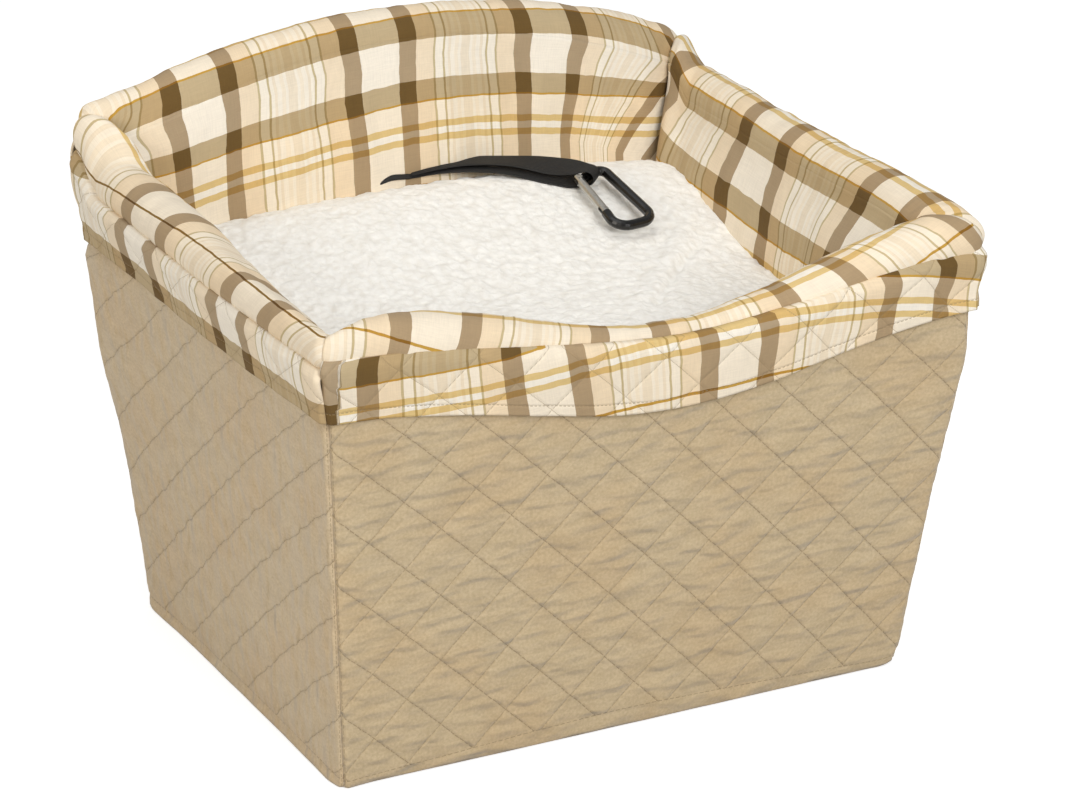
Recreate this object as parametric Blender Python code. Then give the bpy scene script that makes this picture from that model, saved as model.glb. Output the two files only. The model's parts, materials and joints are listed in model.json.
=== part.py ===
"""Dog booster seat for a car: a quilted box with a raised deck, a fleece cushion and a safety tether.

Metres, +Z up. The origin is under the middle of the base, the front faces -Y and +X is to the right.
"""
import math

import bmesh
import bpy
from mathutils import Matrix, Vector

# Outer box: its footprint, how far each wall leans out for each metre of height
base_width = 0.464
base_depth = 0.363
side_lean_share = 0.075
front_lean_share = 0.128
rear_lean_share = 0.105
clearance = 0.0003

# Quilted cover and the boards behind it
base_cover_thickness = 0.003
base_board_thickness = 0.004
cover_thickness = 0.004
quilt_diagonal = 0.0535
quilt_puff = 0.0022
quilt_first_row = 0.011
quilt_headroom = 0.021
board_thickness = 0.003

# Raised deck on two crossed dividers
deck_height = 0.205
deck_thickness = 0.006
divider_thickness = 0.006

# Padded plaid liner inside the walls
liner_top_thickness = 0.012
liner_foot_thickness = 0.026
liner_belly = 0.002
liner_floor_thickness = 0.003
liner_rows = 3
liner_top_steps = 5

# Padded rim roll along the top edge
rim_radius = 0.0205
rim_skin_thickness = 0.0025
rim_inset = 0.014
rim_height = 0.348
front_dip = 0.042
front_dip_centre_share = 0.06
front_flattening_share = 0.2
side_sag = 0.003
back_corner_rise = 0.028
back_arch_rise = 0.051
back_arch_power = 0.9
side_sweep_length = 0.045
rim_sides = 12

# Plaid cuff that hangs from the rim over the quilted walls
cuff_height = 0.051
cuff_thickness = 0.003
cuff_hem_dip = 0.035
cuff_side_sag = 0.005
cuff_front_lift = 0.007
cuff_front_flare = 0.003
cuff_standoff = 0.0028
cuff_rows = 3

# Cushion: fabric case, two foam blocks and the fleece top
cushion_gap = 0.002
cushion_rear_gap = 0.010
case_thickness = 0.002
case_rim_drop = 0.016
fleece_thickness = 0.012
cushion_thickness = 0.0654
cushion_rear_rise = 0.038
cushion_rise_start = -0.030
cushion_rise_length = 0.190
cushion_crown = 0.008
cushion_side_drop = 0.008
cushion_end_drop = 0.010
cushion_side_power = 8
cushion_end_power = 12
cushion_columns = 16
cushion_rows = 14

# Webbing loops on the rear wall for the car's belt
belt_loop_spacing = 0.240
belt_loop_width = 0.038
belt_loop_thickness = 0.002
belt_loop_height = 0.110
belt_loop_centre_height = 0.190
belt_loop_tab = 0.020
belt_loop_standoff = 0.010
belt_loop_slope = 0.010

# Tether webbing, doubled, from the rear of the cushion to the carabiner, with its places
# measured from the foot of the rear wall and from the cushion's level
webbing_width = 0.020
webbing_thickness = 0.0016
webbing_run_offset = 0.0013
webbing_loop_gap = 0.0010
tether_foot = (-0.0220, -0.0072, -0.0240)
tether_root_route = (
    (-0.0220, 0.0031, 0.0290),
    (-0.0205, 0.0033, 0.0365),
    (-0.0145, 0.0023, 0.0440),
)
tether_root_edge_shares = (
    (1.00, 0.00, 0.00),
    (0.95, -0.15, -0.20),
    (0.62, -0.70, -0.40),
)
tether_root_width_shares = (0.60, 0.60, 0.65)
tether_route = (
    (-0.0030, 0.0, 0.0485),
    (0.0160, -0.0030, 0.0498),
    (0.0420, -0.0085, 0.0496),
    (0.0700, -0.0240, 0.0492),
    (0.0950, -0.0450, 0.0482),
    (0.1090, -0.0585, 0.0478),
)
tether_edge_shares = (
    (0.25, -0.93, -0.25),
    (0.08, -0.97, -0.18),
    (-0.15, -0.97, -0.10),
    (-0.40, -0.90, -0.12),
    (-0.62, -0.77, -0.14),
    (-0.75, -0.62, -0.15),
)
tether_width_shares = (0.70, 0.85, 1.00, 1.00, 1.00, 0.90)
tether_loop_width_share = 0.60
tether_stations_per_point = 3
tether_loop_steps = 10
tether_loop_points = 2
tether_fold_steps = 3

# Carabiner: its place as for the tether, the way it points, and its outline from the spine's top corner
carabiner_place = (0.1190, -0.0685, 0.0477)
carabiner_direction_shares = (-0.017, -0.964, -0.263)
carabiner_bar_radius = 0.004
carabiner_pivot_across = 0.025
carabiner_pivot_along = 0.012
carabiner_loop_share = 0.56
carabiner_foot_across = -0.009
carabiner_foot_along = 0.078
carabiner_toe_across = 0.0265
carabiner_toe_along = 0.082
carabiner_top_bend = 0.006
carabiner_heel_bend = 0.013
carabiner_toe_bend = 0.011
carabiner_sides = 12
bend_steps = 7
gate_length = 0.048
gate_radius = 0.0035
gate_overhang = 0.004
gate_sides = 16
tang_sides = 32
gate_bore_radius = 0.0021
gate_bore_length = 0.024
gate_end_slot_depth = 0.0075
tang_thickness = 0.0026
tang_reach = 0.0064
tongue_reach = 0.0060
tongue_width = 0.0046
rivet_radius = 0.0010
rivet_head_radius = 0.0017
rivet_head_height = 0.0006
latch_pin_radius = 0.0008
latch_pin_setback = 0.0025
plunger_length = 0.0035
spring_wire_radius = 0.00025
spring_coil_radius = 0.0013
spring_turns = 8
spring_steps_per_turn = 8
cutter_overrun = 0.002

crease_angle = 40.0
quilt_crease_angle = 20.0
solving_rounds = 6
least_rim_drop_share = 0.5

SIDES = ("front", "rear", "left", "right")


def clear_scene():
    """Remove the objects that a new file opens with."""
    for item in list(bpy.data.objects):
        bpy.data.objects.remove(item, do_unlink=True)


def material(name, colour, roughness, metallic=0.0):
    """Return a Principled material."""
    made = bpy.data.materials.new(name)
    made.use_nodes = True
    shader = made.node_tree.nodes["Principled BSDF"]
    shader.inputs["Base Color"].default_value = (*colour, 1.0)
    shader.inputs["Roughness"].default_value = roughness
    shader.inputs["Metallic"].default_value = metallic
    return made


def add_object(name, bm, finish, smooth_angle=crease_angle, location=(0, 0, 0), parent=None):
    """Turn a bmesh into a named object with outward faces."""
    bmesh.ops.recalc_face_normals(bm, faces=bm.faces)
    mesh = bpy.data.meshes.new(name)
    bm.to_mesh(mesh)
    bm.free()
    mesh.materials.append(finish)
    mesh.shade_smooth()
    mesh.set_sharp_from_angle(angle=math.radians(smooth_angle))
    item = bpy.data.objects.new(name, mesh)
    bpy.context.collection.objects.link(item)
    item.location = location
    item.parent = parent
    return item


def smoothstep(value):
    """Ease from 0 to 1 as value goes from 0 to 1."""
    held = min(max(value, 0.0), 1.0)
    return held * held * (3.0 - 2.0 * held)


def mix(start, end, share):
    """Return the value at a share of the way from start to end."""
    return start + (end - start) * share


def half_across(z, inset=0.0):
    """Half width of the box at height z, inset from its outer face."""
    return base_width / 2 + side_lean_share * z - inset


def half_front(z, inset=0.0):
    """Distance from the middle to the front wall at height z."""
    return base_depth / 2 + front_lean_share * z - inset


def half_rear(z, inset=0.0):
    """Distance from the middle to the rear wall at height z."""
    return base_depth / 2 + rear_lean_share * z - inset


def wall_point(side, share, z, inset):
    """Place a point on a wall: share runs from one mitred corner (-1) to the other (1)."""
    trim = inset + clearance
    if side in ("front", "rear"):
        x = share * half_across(z, trim)
        y = -half_front(z, inset) if side == "front" else half_rear(z, inset)
        return Vector((x, y, z))
    y = mix(-half_front(z, trim), half_rear(z, trim), (share + 1) / 2)
    x = half_across(z, inset)
    return Vector((-x if side == "left" else x, y, z))


def shares(count):
    """Return evenly spaced shares from -1 to 1."""
    return [-1 + 2 * i / count for i in range(count + 1)]


def dip(share):
    """Shape of the front's dip: 1 near the middle and 0 at both corners."""
    shifted = share - front_dip_centre_share * (1 - share * share)
    return math.cos(math.pi * shifted / 2) ** 2


def rim_z(side, share):
    """Height of the rim roll's centre along a wall."""
    if side == "front":
        return rim_height - front_dip * dip(share)
    if side == "rear":
        return rim_height + back_corner_rise + back_arch_rise * (1 - share * share) ** back_arch_power
    length = half_front(rim_height) + half_rear(rim_height)
    from_rear = (1 - share) / 2 * length
    sweep = smoothstep(1 - from_rear / side_sweep_length)
    sag = side_sag * math.cos(math.pi * share / 2) ** 2
    return rim_height - sag + back_corner_rise * sweep


def rim_r(side, share):
    """Radius of the rim roll, which is flatter in the front's dip."""
    return rim_radius * (1 - front_flattening_share * dip(share)) if side == "front" else rim_radius


def under_rim(side, share, inset_at):
    """Height at which a wall layer meets the underside of the rim roll."""
    centre = rim_z(side, share)
    radius = rim_r(side, share)
    z = centre - radius
    for _ in range(solving_rounds):
        across = rim_inset - inset_at(z)
        z = centre - math.sqrt(max(radius * radius - across * across, (least_rim_drop_share * radius) ** 2))
    return z - clearance


def sweep_rings(bm, rings, capped=True):
    """Extrude a closed ring of edges through the other rings, and cap both ends."""
    count = len(rings[0])
    first = [bm.verts.new(place) for place in rings[0]]
    edges = [bm.edges.new((first[i], first[(i + 1) % count])) for i in range(count)]
    current = first
    for ring in rings[1:]:
        grown = set(bmesh.ops.extrude_edge_only(bm, edges=edges)["geom"])
        current = [next(e.other_vert(v) for e in v.link_edges if e.other_vert(v) in grown) for v in current]
        for vert, place in zip(current, ring):
            vert.co = place
        edges = [bm.edges.get((current[i], current[(i + 1) % count])) for i in range(count)]
    if capped:
        bm.faces.new(first)
        bm.faces.new(current)
    return first, current


def join_rings(bm, ring_a, ring_b):
    """Close the flat ring between two loops of as many vertices."""
    count = len(ring_a)
    for i in range(count):
        j = (i + 1) % count
        bm.faces.new((ring_a[i], ring_a[j], ring_b[j], ring_b[i]))


def wall_stations(side):
    """Shares along a wall at which every one of its layers has a section: half a diamond apart."""
    span = base_width if side in ("front", "rear") else base_depth
    return shares(2 * max(1, round(span / quilt_diagonal)))


def wall_strip(name, side, finish, section):
    """Build a wall layer whose section (inset, z) is given at each share along the wall."""
    bm = bmesh.new()
    rings = []
    for share in wall_stations(side):
        rings.append([wall_point(side, share, z, inset) for inset, z in section(share)])
    sweep_rings(bm, rings)
    return add_object(name, bm, finish)


def level_ring(z, inset, rear_extra=0.0):
    """Return the four corners of the box at height z, inset from its outer face."""
    x = half_across(z, inset)
    front = -half_front(z, inset)
    rear = half_rear(z, inset) - rear_extra
    return [Vector(p) for p in ((-x, front, z), (x, front, z), (x, rear, z), (-x, rear, z))]


def board_inset():
    """Inset of the stiffener boards' outer face."""
    return cover_thickness + clearance


def liner_back_inset():
    """Inset of the liner's hidden face, in front of the boards."""
    return board_inset() + board_thickness + clearance


def liner_inset(z):
    """Inset of the liner's visible face, which is padded thicker towards its foot."""
    share = min(max((rim_height - z) / (rim_height - deck_height), 0.0), 1.0)
    return liner_back_inset() + mix(liner_top_thickness, liner_foot_thickness, share)


def base_top():
    """Height of the fabric base's upper face."""
    return base_cover_thickness + clearance


def make_base(finishes):
    """Fabric bottom and the board that lies on it."""
    bm = bmesh.new()
    sweep_rings(bm, [level_ring(0, 0), level_ring(base_cover_thickness, 0)])
    add_object("base_cover", bm, finishes["suede"])
    bm = bmesh.new()
    low = base_top()
    inset = liner_back_inset()
    sweep_rings(bm, [level_ring(low, inset), level_ring(low + base_board_thickness, inset)])
    add_object("base_board", bm, finishes["board"])


def make_cover_panel(side, finish):
    """Quilted wall: stitched lines run at 45 degrees between raised diamonds."""
    stations = wall_stations(side)
    across = len(stations) - 1
    quilt_top = rim_height - front_dip - quilt_headroom
    up = int((quilt_top - quilt_first_row) / (quilt_diagonal / 2))
    low = base_top()
    bm = bmesh.new()
    rings = []
    for i, share in enumerate(stations):
        top = under_rim(side, share, lambda z: 0.0)
        inner_top = under_rim(side, share, lambda z: cover_thickness)
        ring = [wall_point(side, share, low, 0.0)]
        for j in range(up + 1):
            raised = (i + j) % 2 == 1 and 0 < i < across
            puff = quilt_puff if raised else 0.0
            ring.append(wall_point(side, share, quilt_first_row + j * quilt_diagonal / 2, -puff))
        ring.append(wall_point(side, share, top, 0.0))
        ring.append(wall_point(side, share, inner_top, cover_thickness))
        ring.append(wall_point(side, share, low, cover_thickness))
        rings.append(ring)
    sweep_rings(bm, rings)
    bm.verts.ensure_lookup_table()
    count = len(rings[0])
    seams = []
    for i in range(across + 1):
        seams += [bm.verts[i * count + 1 + j] for j in range(up + 1) if (i + j) % 2 == 0]
    bmesh.ops.connect_verts(bm, verts=seams)
    add_object(side + "_cover_panel", bm, finish, smooth_angle=quilt_crease_angle)


def make_stiffener_board(side, finish):
    """Thin board that keeps one wall upright and carries the rim roll."""
    outer = board_inset()
    inner = outer + board_thickness
    low = base_top()

    def section(share):
        return (
            (outer, low),
            (outer, under_rim(side, share, lambda z: outer)),
            (inner, under_rim(side, share, lambda z: inner)),
            (inner, low),
        )

    wall_strip(side + "_stiffener_board", side, finish, section)


def make_liner_wall(side, finish):
    """Padded plaid lining of one wall, from the deck up to the rim roll."""
    outer = liner_back_inset()
    low = deck_height + clearance

    def section(share):
        inner_top = under_rim(side, share, liner_inset)
        points = [(outer, low)]
        for step in range(liner_top_steps + 1):
            inset = mix(outer, liner_inset(inner_top), step / liner_top_steps)
            points.append((inset, under_rim(side, share, lambda z, held=inset: held)))
        for row in range(1, liner_rows):
            z = mix(inner_top, low, row / liner_rows)
            belly = liner_belly * math.cos(math.pi * share / 2)
            points.append((liner_inset(z) + belly, z))
        points.append((liner_inset(low), low))
        return points

    wall_strip(side + "_liner_wall", side, finish, section)


def rim_ring(side, share, radius):
    """Return the rim roll's ring at a share along a wall, cut on the mitre."""
    centre = rim_z(side, share)
    ring = []
    for k in range(rim_sides):
        angle = 2 * math.pi * k / rim_sides
        z = centre + radius * math.sin(angle)
        ring.append(wall_point(side, share, z, rim_inset - radius * math.cos(angle)))
    return ring


def make_rim(side, finishes):
    """Foam core and plaid skin of one stretch of the rim roll."""
    bm = bmesh.new()
    skin_share = 1 - rim_skin_thickness / rim_radius
    core_share = skin_share - clearance / rim_radius
    stops = wall_stations(side)
    outer = sweep_rings(bm, [rim_ring(side, s, rim_r(side, s)) for s in stops], capped=False)
    inner = sweep_rings(bm, [rim_ring(side, s, rim_r(side, s) * skin_share) for s in stops], capped=False)
    join_rings(bm, outer[0], inner[0])
    join_rings(bm, outer[1], inner[1])
    add_object(side + "_rim_roll", bm, finishes["plaid"])
    bm = bmesh.new()
    sweep_rings(bm, [rim_ring(side, s, rim_r(side, s) * core_share) for s in stops])
    add_object(side + "_rim_foam_core", bm, finishes["foam"])


def cuff_top(side, share):
    """Height of the cuff's upper edge."""
    lift = cuff_front_lift * dip(share) if side == "front" else 0.0
    return rim_z(side, share) + lift


def cuff_hem(side, share):
    """Height of the cuff's lower edge."""
    level = rim_height - cuff_height
    if side == "front":
        return level - cuff_hem_dip * dip(share)
    if side == "rear":
        return level
    return level - cuff_side_sag * math.cos(math.pi * share / 2) ** 2


def make_cuff(side, finish):
    """Plaid cuff that hangs from the outside of the rim roll over one wall."""

    def section(share):
        top = cuff_top(side, share)
        hem = cuff_hem(side, share)
        top_inset = rim_inset - rim_r(side, share) - clearance
        flare = cuff_front_flare * dip(share) if side == "front" else 0.0
        hem_inset = -cuff_standoff - flare
        inner = []
        for row in range(cuff_rows + 1):
            down = row / cuff_rows
            inner.append((mix(top_inset, hem_inset, down), mix(top, hem, down)))
        outer = [(inset - cuff_thickness, z) for inset, z in inner]
        return inner + outer[::-1]

    wall_strip(side + "_cuff", side, finish, section)


def make_deck(finishes):
    """Raised deck, the liner's floor on it, and the two crossed dividers under it."""
    inset = liner_back_inset()
    under = deck_height - deck_thickness
    bm = bmesh.new()
    sweep_rings(bm, [level_ring(under, inset), level_ring(deck_height, inset)])
    add_object("deck_board", bm, finishes["board"])
    low = deck_height + clearance
    high = low + liner_floor_thickness
    bm = bmesh.new()
    floor_inset = liner_inset(low) + clearance
    sweep_rings(bm, [level_ring(low, floor_inset), level_ring(high, floor_inset)])
    add_object("liner_floor", bm, finishes["plaid"])
    foot = base_top() + base_board_thickness + clearance
    head = under - clearance
    half_slot = divider_thickness / 2 + clearance
    middle = (foot + head) / 2
    left_foot, right_foot = -half_across(foot, inset), half_across(foot, inset)
    left_head, right_head = -half_across(head, inset), half_across(head, inset)
    long_outline = (
        (left_foot, foot), (right_foot, foot), (right_head, head), (half_slot, head),
        (half_slot, middle), (-half_slot, middle), (-half_slot, head), (left_head, head),
    )
    cross_middle = middle + clearance
    cross_outline = (
        (-half_front(foot, inset), foot), (-half_slot, foot), (-half_slot, cross_middle),
        (half_slot, cross_middle), (half_slot, foot), (half_rear(foot, inset), foot),
        (half_rear(head, inset), head), (-half_front(head, inset), head),
    )
    half = divider_thickness / 2
    bm = bmesh.new()
    sweep_rings(bm, [[(along, y, z) for along, z in long_outline] for y in (-half, half)])
    add_object("long_divider", bm, finishes["board"])
    bm = bmesh.new()
    sweep_rings(bm, [[(x, along, z) for along, z in cross_outline] for x in (-half, half)])
    add_object("cross_divider", bm, finishes["board"])


def cushion_base():
    """Height of the cushion case's underside."""
    return deck_height + liner_floor_thickness + 2 * clearance


def cushion_level():
    """Height of the fleece in the cushion's level front half, before its crown and dropped edges."""
    return cushion_base() + cushion_thickness


def cushion_place(u, v, z, shrink=0.0):
    """Place shares u and v (-1 to 1) inside the liner walls at height z."""
    inset = liner_inset(z) + cushion_gap + shrink
    x = u * half_across(z, inset)
    rear = half_rear(z, inset) - (cushion_rear_gap - cushion_gap)
    y = mix(-half_front(z, inset), rear, (v + 1) / 2)
    return x, y


def cushion_rise(y):
    """How far the cushion is pushed up at a distance y behind the middle of the base."""
    return cushion_rear_rise * smoothstep((y - cushion_rise_start) / cushion_rise_length)


def cushion_surface(u, v, y):
    """Height of the fleece: crowned, pushed up at the rear and turned down along its edges."""
    crown = cushion_crown * (1 - u * u)
    drop = cushion_side_drop * abs(u) ** cushion_side_power + cushion_end_drop * abs(v) ** cushion_end_power
    return cushion_level() + cushion_rise(y) + crown - drop


def pillow(name, across, along, top, bottom, finish):
    """Build a closed pad from an upper and a lower grid of shares."""
    bm = bmesh.new()
    rims = []
    for place in (top, bottom):
        made = bmesh.ops.create_grid(bm, x_segments=across, y_segments=along, size=1.0)["verts"]
        for vert in made:
            vert.co = place(vert.co.x, vert.co.y)
        rims += list({e for v in made for e in v.link_edges if e.is_boundary})
    bmesh.ops.bridge_loops(bm, edges=rims)
    add_object(name, bm, finish)


def make_cushion(finishes):
    """Cushion: a fabric case open at the top, front and rear foam blocks, and the fleece top."""
    low = cushion_base()

    def case_ring(z_front, z_rear, shrink):
        ring = []
        for u, v in ((-1, -1), (1, -1), (1, 1), (-1, 1)):
            z = z_front if v < 0 else z_rear
            x, y = cushion_place(u, v, z, shrink)
            ring.append((x, y, z))
        return ring

    rim_front = cushion_level() - cushion_side_drop - cushion_end_drop - case_rim_drop
    rim_rear = rim_front + cushion_rise(half_rear(rim_front)) / 2
    bm = bmesh.new()
    floor = low + case_thickness
    sweep_rings(bm, [
        case_ring(low, low, 0.0),
        case_ring(rim_front, rim_rear, 0.0),
        case_ring(rim_front, rim_rear, case_thickness),
        case_ring(floor, floor, case_thickness),
    ])
    add_object("cushion_case", bm, finishes["lining"])

    inner = case_thickness + clearance
    under_fleece = fleece_thickness + clearance

    def on_surface(u, v, shrink, drop):
        z = cushion_level()
        for _ in range(solving_rounds):
            x, y = cushion_place(u, v, z, shrink)
            z = cushion_surface(u, v, y) - drop
        return Vector((x, y, z))

    def foam_block(name, start, stop, gap):
        def along(v):
            return mix(start, stop, (v + 1) / 2)

        def top(u, v):
            place = on_surface(u, along(v), inner, under_fleece)
            return place + Vector((0, gap * (1 - v) / 2, 0))

        def bottom(u, v):
            z = floor + clearance
            x, y = cushion_place(u, along(v), z, inner)
            return Vector((x, y + gap * (1 - v) / 2, z))

        pillow(name, cushion_columns, cushion_rows // 2, top, bottom, finishes["foam"])

    foam_block("cushion_front_foam", -1, 0, 0.0)
    foam_block("cushion_rear_foam", 0, 1, clearance)

    def fleece_top(u, v):
        return on_surface(u, v, 0.0, 0.0)

    def fleece_bottom(u, v):
        return on_surface(u, v, 0.0, fleece_thickness)

    pillow("fleece_top", cushion_columns, cushion_rows, fleece_top, fleece_bottom, finishes["fleece"])


def make_belt_loop(name, x_centre, finish):
    """Webbing loop sewn to the rear wall at both ends, through which a car belt passes."""
    lift = quilt_puff + clearance
    low = belt_loop_centre_height - belt_loop_height / 2
    high = belt_loop_centre_height + belt_loop_height / 2
    heights = (
        (low, lift), (low + belt_loop_tab, lift),
        (low + belt_loop_tab + belt_loop_slope, lift + belt_loop_standoff),
        (high - belt_loop_tab - belt_loop_slope, lift + belt_loop_standoff),
        (high - belt_loop_tab, lift), (high, lift),
    )
    outline = [(half_rear(z) + out, z) for z, out in heights]
    outline += [(half_rear(z) + out + belt_loop_thickness, z) for z, out in reversed(heights)]
    half = belt_loop_width / 2
    bm = bmesh.new()
    sweep_rings(bm, [[(x_centre + x, y, z) for y, z in outline] for x in (-half, half)])
    add_object(name, bm, finish)


def blend_points(points, steps):
    """Read a smooth curve through a list of points, with steps between each pair."""
    held = [Vector(p) for p in points]
    held = [2 * held[0] - held[1]] + held + [2 * held[-1] - held[-2]]
    made = []
    for i in range(1, len(held) - 2):
        a, b, c, d = held[i - 1:i + 3]
        for k in range(steps):
            t = k / steps
            curve = 2 * b + (c - a) * t + (2 * a - 5 * b + 4 * c - d) * t * t
            made.append((curve + (3 * b - a - 3 * c + d) * t ** 3) / 2)
    return made + [held[-2]]


def on_cushion(place):
    """Place a point of the tether, given from the foot of the rear wall and the cushion's level."""
    return Vector(place) + Vector((0, base_depth / 2, cushion_level()))


def carabiner_frame():
    """Return the carabiner's place and its axes: towards the gate, towards the nose, and up."""
    nose = Vector(carabiner_direction_shares).normalized()
    gate = Vector((-1, 0, 0))
    gate = (gate - nose * gate.dot(nose)).normalized()
    up = gate.cross(nose)
    return on_cushion(carabiner_place), gate, nose, up


def bar_direction():
    """Direction of the carabiner's top bar, which the tether's loop wraps."""
    _, gate, nose, _ = carabiner_frame()
    return (gate * carabiner_pivot_across + nose * carabiner_pivot_along).normalized()


def webbing_frames(points, edges, width_shares, first_way=None, last_way=None):
    """Return (centre, edge, normal, half width) along webbing; a way sets the direction at an end."""
    steps = tether_stations_per_point
    centres = blend_points(points, steps)
    turned = blend_points(edges, steps)
    widths = blend_points([(share, 0, 0) for share in width_shares], steps)
    last = len(centres) - 1
    frames = []
    for i, centre in enumerate(centres):
        tangent = centres[min(i + 1, last)] - centres[max(i - 1, 0)]
        if i == 0 and first_way:
            tangent = first_way
        if i == last and last_way:
            tangent = last_way
        edge = turned[i].normalized()
        edge = (edge - tangent * edge.dot(tangent) / tangent.length_squared).normalized()
        frames.append((centre, edge, tangent.cross(edge).normalized(), widths[i].x * webbing_width / 2))
    return frames


def strap_frames():
    """Frames of the free tether, whose last one is square to the carabiner's bar."""
    place, _, _, _ = carabiner_frame()
    bar = bar_direction()
    points = [on_cushion(point) for point in tether_route] + [place]
    arrival = place - points[-2]
    edges = tuple(tether_edge_shares) + (tuple(bar),)
    width_shares = tether_width_shares + (tether_loop_width_share,)
    return webbing_frames(points, edges, width_shares, last_way=arrival - bar * arrival.dot(bar))


def webbing_ring(centre, edge, normal, half_width, half_thickness):
    """Return the four corners of a webbing section."""
    wide = edge * half_width
    thick = normal * half_thickness
    return [centre - wide - thick, centre + wide - thick, centre + wide + thick, centre - wide + thick]


def make_tether(finish, parent):
    """Free tether: a loop of webbing, folded at the root and turned round the carabiner's bar."""
    frames = strap_frames()
    last = len(frames) - 1
    half_thickness = webbing_thickness / 2
    loop_radius = carabiner_bar_radius + webbing_loop_gap + half_thickness
    opening = tether_loop_points * tether_stations_per_point
    rings = []

    def run(way, order):
        for i in order:
            centre, edge, normal, half = frames[i]
            open_share = smoothstep((i - (last - opening)) / opening)
            offset = mix(webbing_run_offset, loop_radius, open_share)
            rings.append(webbing_ring(centre + normal * way * offset, edge, -normal * way, half, half_thickness))

    def turn(frame, radius, start, stop, steps):
        centre, edge, normal, half = frame
        forward = edge.cross(normal)
        for k in range(steps + 1):
            angle = mix(start, stop, k / steps)
            out = forward * math.sin(angle) - normal * math.cos(angle)
            rings.append(webbing_ring(centre + out * radius, edge, -out, half, half_thickness))

    seam = math.asin(clearance / 2 / (webbing_run_offset - half_thickness))
    fold = math.pi / 2 - seam
    bend = math.pi / tether_loop_steps
    turn(frames[0], webbing_run_offset, -fold, -bend, tether_fold_steps)
    run(-1, range(last + 1))
    turn(frames[last], loop_radius, bend, math.pi - bend, tether_loop_steps - 2)
    run(1, range(last, -1, -1))
    turn(frames[0], webbing_run_offset, math.pi + bend, math.pi + fold, tether_fold_steps)
    origin = on_cushion(tether_route[0])
    bm = bmesh.new()
    sweep_rings(bm, [[place - origin for place in ring] for ring in rings])
    add_object("tether_strap", bm, finish, parent=parent)


def make_tether_root(finish):
    """Sewn end of the tether, which comes up between the cushion and the rear liner and folds over."""
    start, edge, normal, _ = strap_frames()[0]
    forward = edge.cross(normal)
    half_thickness = webbing_run_offset + webbing_thickness / 2
    end = start - forward * (half_thickness + clearance)
    foot = on_cushion(tether_foot)
    points = [on_cushion(point) for point in tether_root_route] + [end]
    edges = tether_root_edge_shares + (tuple(edge),)
    width_shares = tether_root_width_shares + (tether_width_shares[0],)
    rise = points[0] - foot
    frames = webbing_frames(points, edges, width_shares, first_way=rise, last_way=forward)
    _, edge, normal, half = frames[0]
    frames.insert(0, (foot, edge, normal, half))
    bm = bmesh.new()
    sweep_rings(bm, [webbing_ring(*frame, half_thickness) for frame in frames])
    add_object("tether_root", bm, finish)


def rounded_path(corners, bends, steps):
    """Join corners by straight runs, with each inner corner rounded to its bend radius."""
    path = [Vector(corners[0])]
    for i in range(1, len(corners) - 1):
        before, corner, after = (Vector(corners[k]) for k in (i - 1, i, i + 1))
        arrive = (corner - before).normalized()
        leave = (after - corner).normalized()
        turn = arrive.angle(leave)
        reach = bends[i - 1] * math.tan(turn / 2)
        start = corner - arrive * reach
        centre_way = (leave - arrive).normalized()
        centre = corner + centre_way * bends[i - 1] / math.cos(turn / 2)
        out = (start - centre).normalized()
        for k in range(steps + 1):
            angle = turn * k / steps
            path.append(centre + (out * math.cos(angle) + arrive * math.sin(angle)) * bends[i - 1])
    path.append(Vector(corners[-1]))
    return path


def flat_tube(bm, path, radius, sides):
    """Sweep a round bar along a path that lies in the local XY plane."""
    rings = []
    last = len(path) - 1
    for i, centre in enumerate(path):
        before = (path[i] - path[max(i - 1, 0)]).normalized()
        after = (path[min(i + 1, last)] - path[i]).normalized()
        tangent = (before + after).normalized()
        side = Vector((-tangent.y, tangent.x, 0))
        ring = []
        for k in range(sides):
            angle = 2 * math.pi * (k + 0.5) / sides
            ring.append(centre + (side * math.cos(angle) + Vector((0, 0, 1)) * math.sin(angle)) * radius)
        rings.append(ring)
    sweep_rings(bm, rings)


def cylinder(bm, start, end, radius, sides):
    """Add a closed cylinder between two points."""
    axis = Vector(end) - Vector(start)
    turn = Vector((0, 0, 1)).rotation_difference(axis).to_matrix().to_4x4()
    place = Matrix.Translation((Vector(start) + Vector(end)) / 2) @ turn
    bmesh.ops.create_cone(
        bm, cap_ends=True, segments=sides, radius1=radius, radius2=radius, depth=axis.length, matrix=place
    )


def box(bm, low, high):
    """Add a closed box between two corners."""
    size = Vector(high) - Vector(low)
    middle = (Vector(low) + Vector(high)) / 2
    bmesh.ops.create_cube(bm, size=1.0, matrix=Matrix.Translation(middle) @ Matrix.Diagonal((*size, 1)))


def cut(item, name, build, parent):
    """Cut a named guide solid out of an object."""
    bm = bmesh.new()
    build(bm)
    cutter = add_object(name, bm, item.data.materials[0], parent=parent)
    cutter.hide_render = True
    cutter.display_type = "WIRE"
    change = item.modifiers.new(name, "BOOLEAN")
    change.operation = "DIFFERENCE"
    change.solver = "EXACT"
    change.object = cutter


def from_bar(across, along):
    """Place a point of the carabiner's outline from the middle of the tether's loop on its top bar."""
    loop = carabiner_loop_share
    return Vector((across - carabiner_pivot_across * loop, along - carabiner_pivot_along * loop, 0))


def pivot_point():
    """Gate pivot, in the carabiner's own frame."""
    return from_bar(carabiner_pivot_across, carabiner_pivot_along)


def latch_point():
    """Centre of the latch pin, in the carabiner's own frame."""
    return pivot_point() + Vector((0, gate_length - latch_pin_setback, 0))


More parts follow.
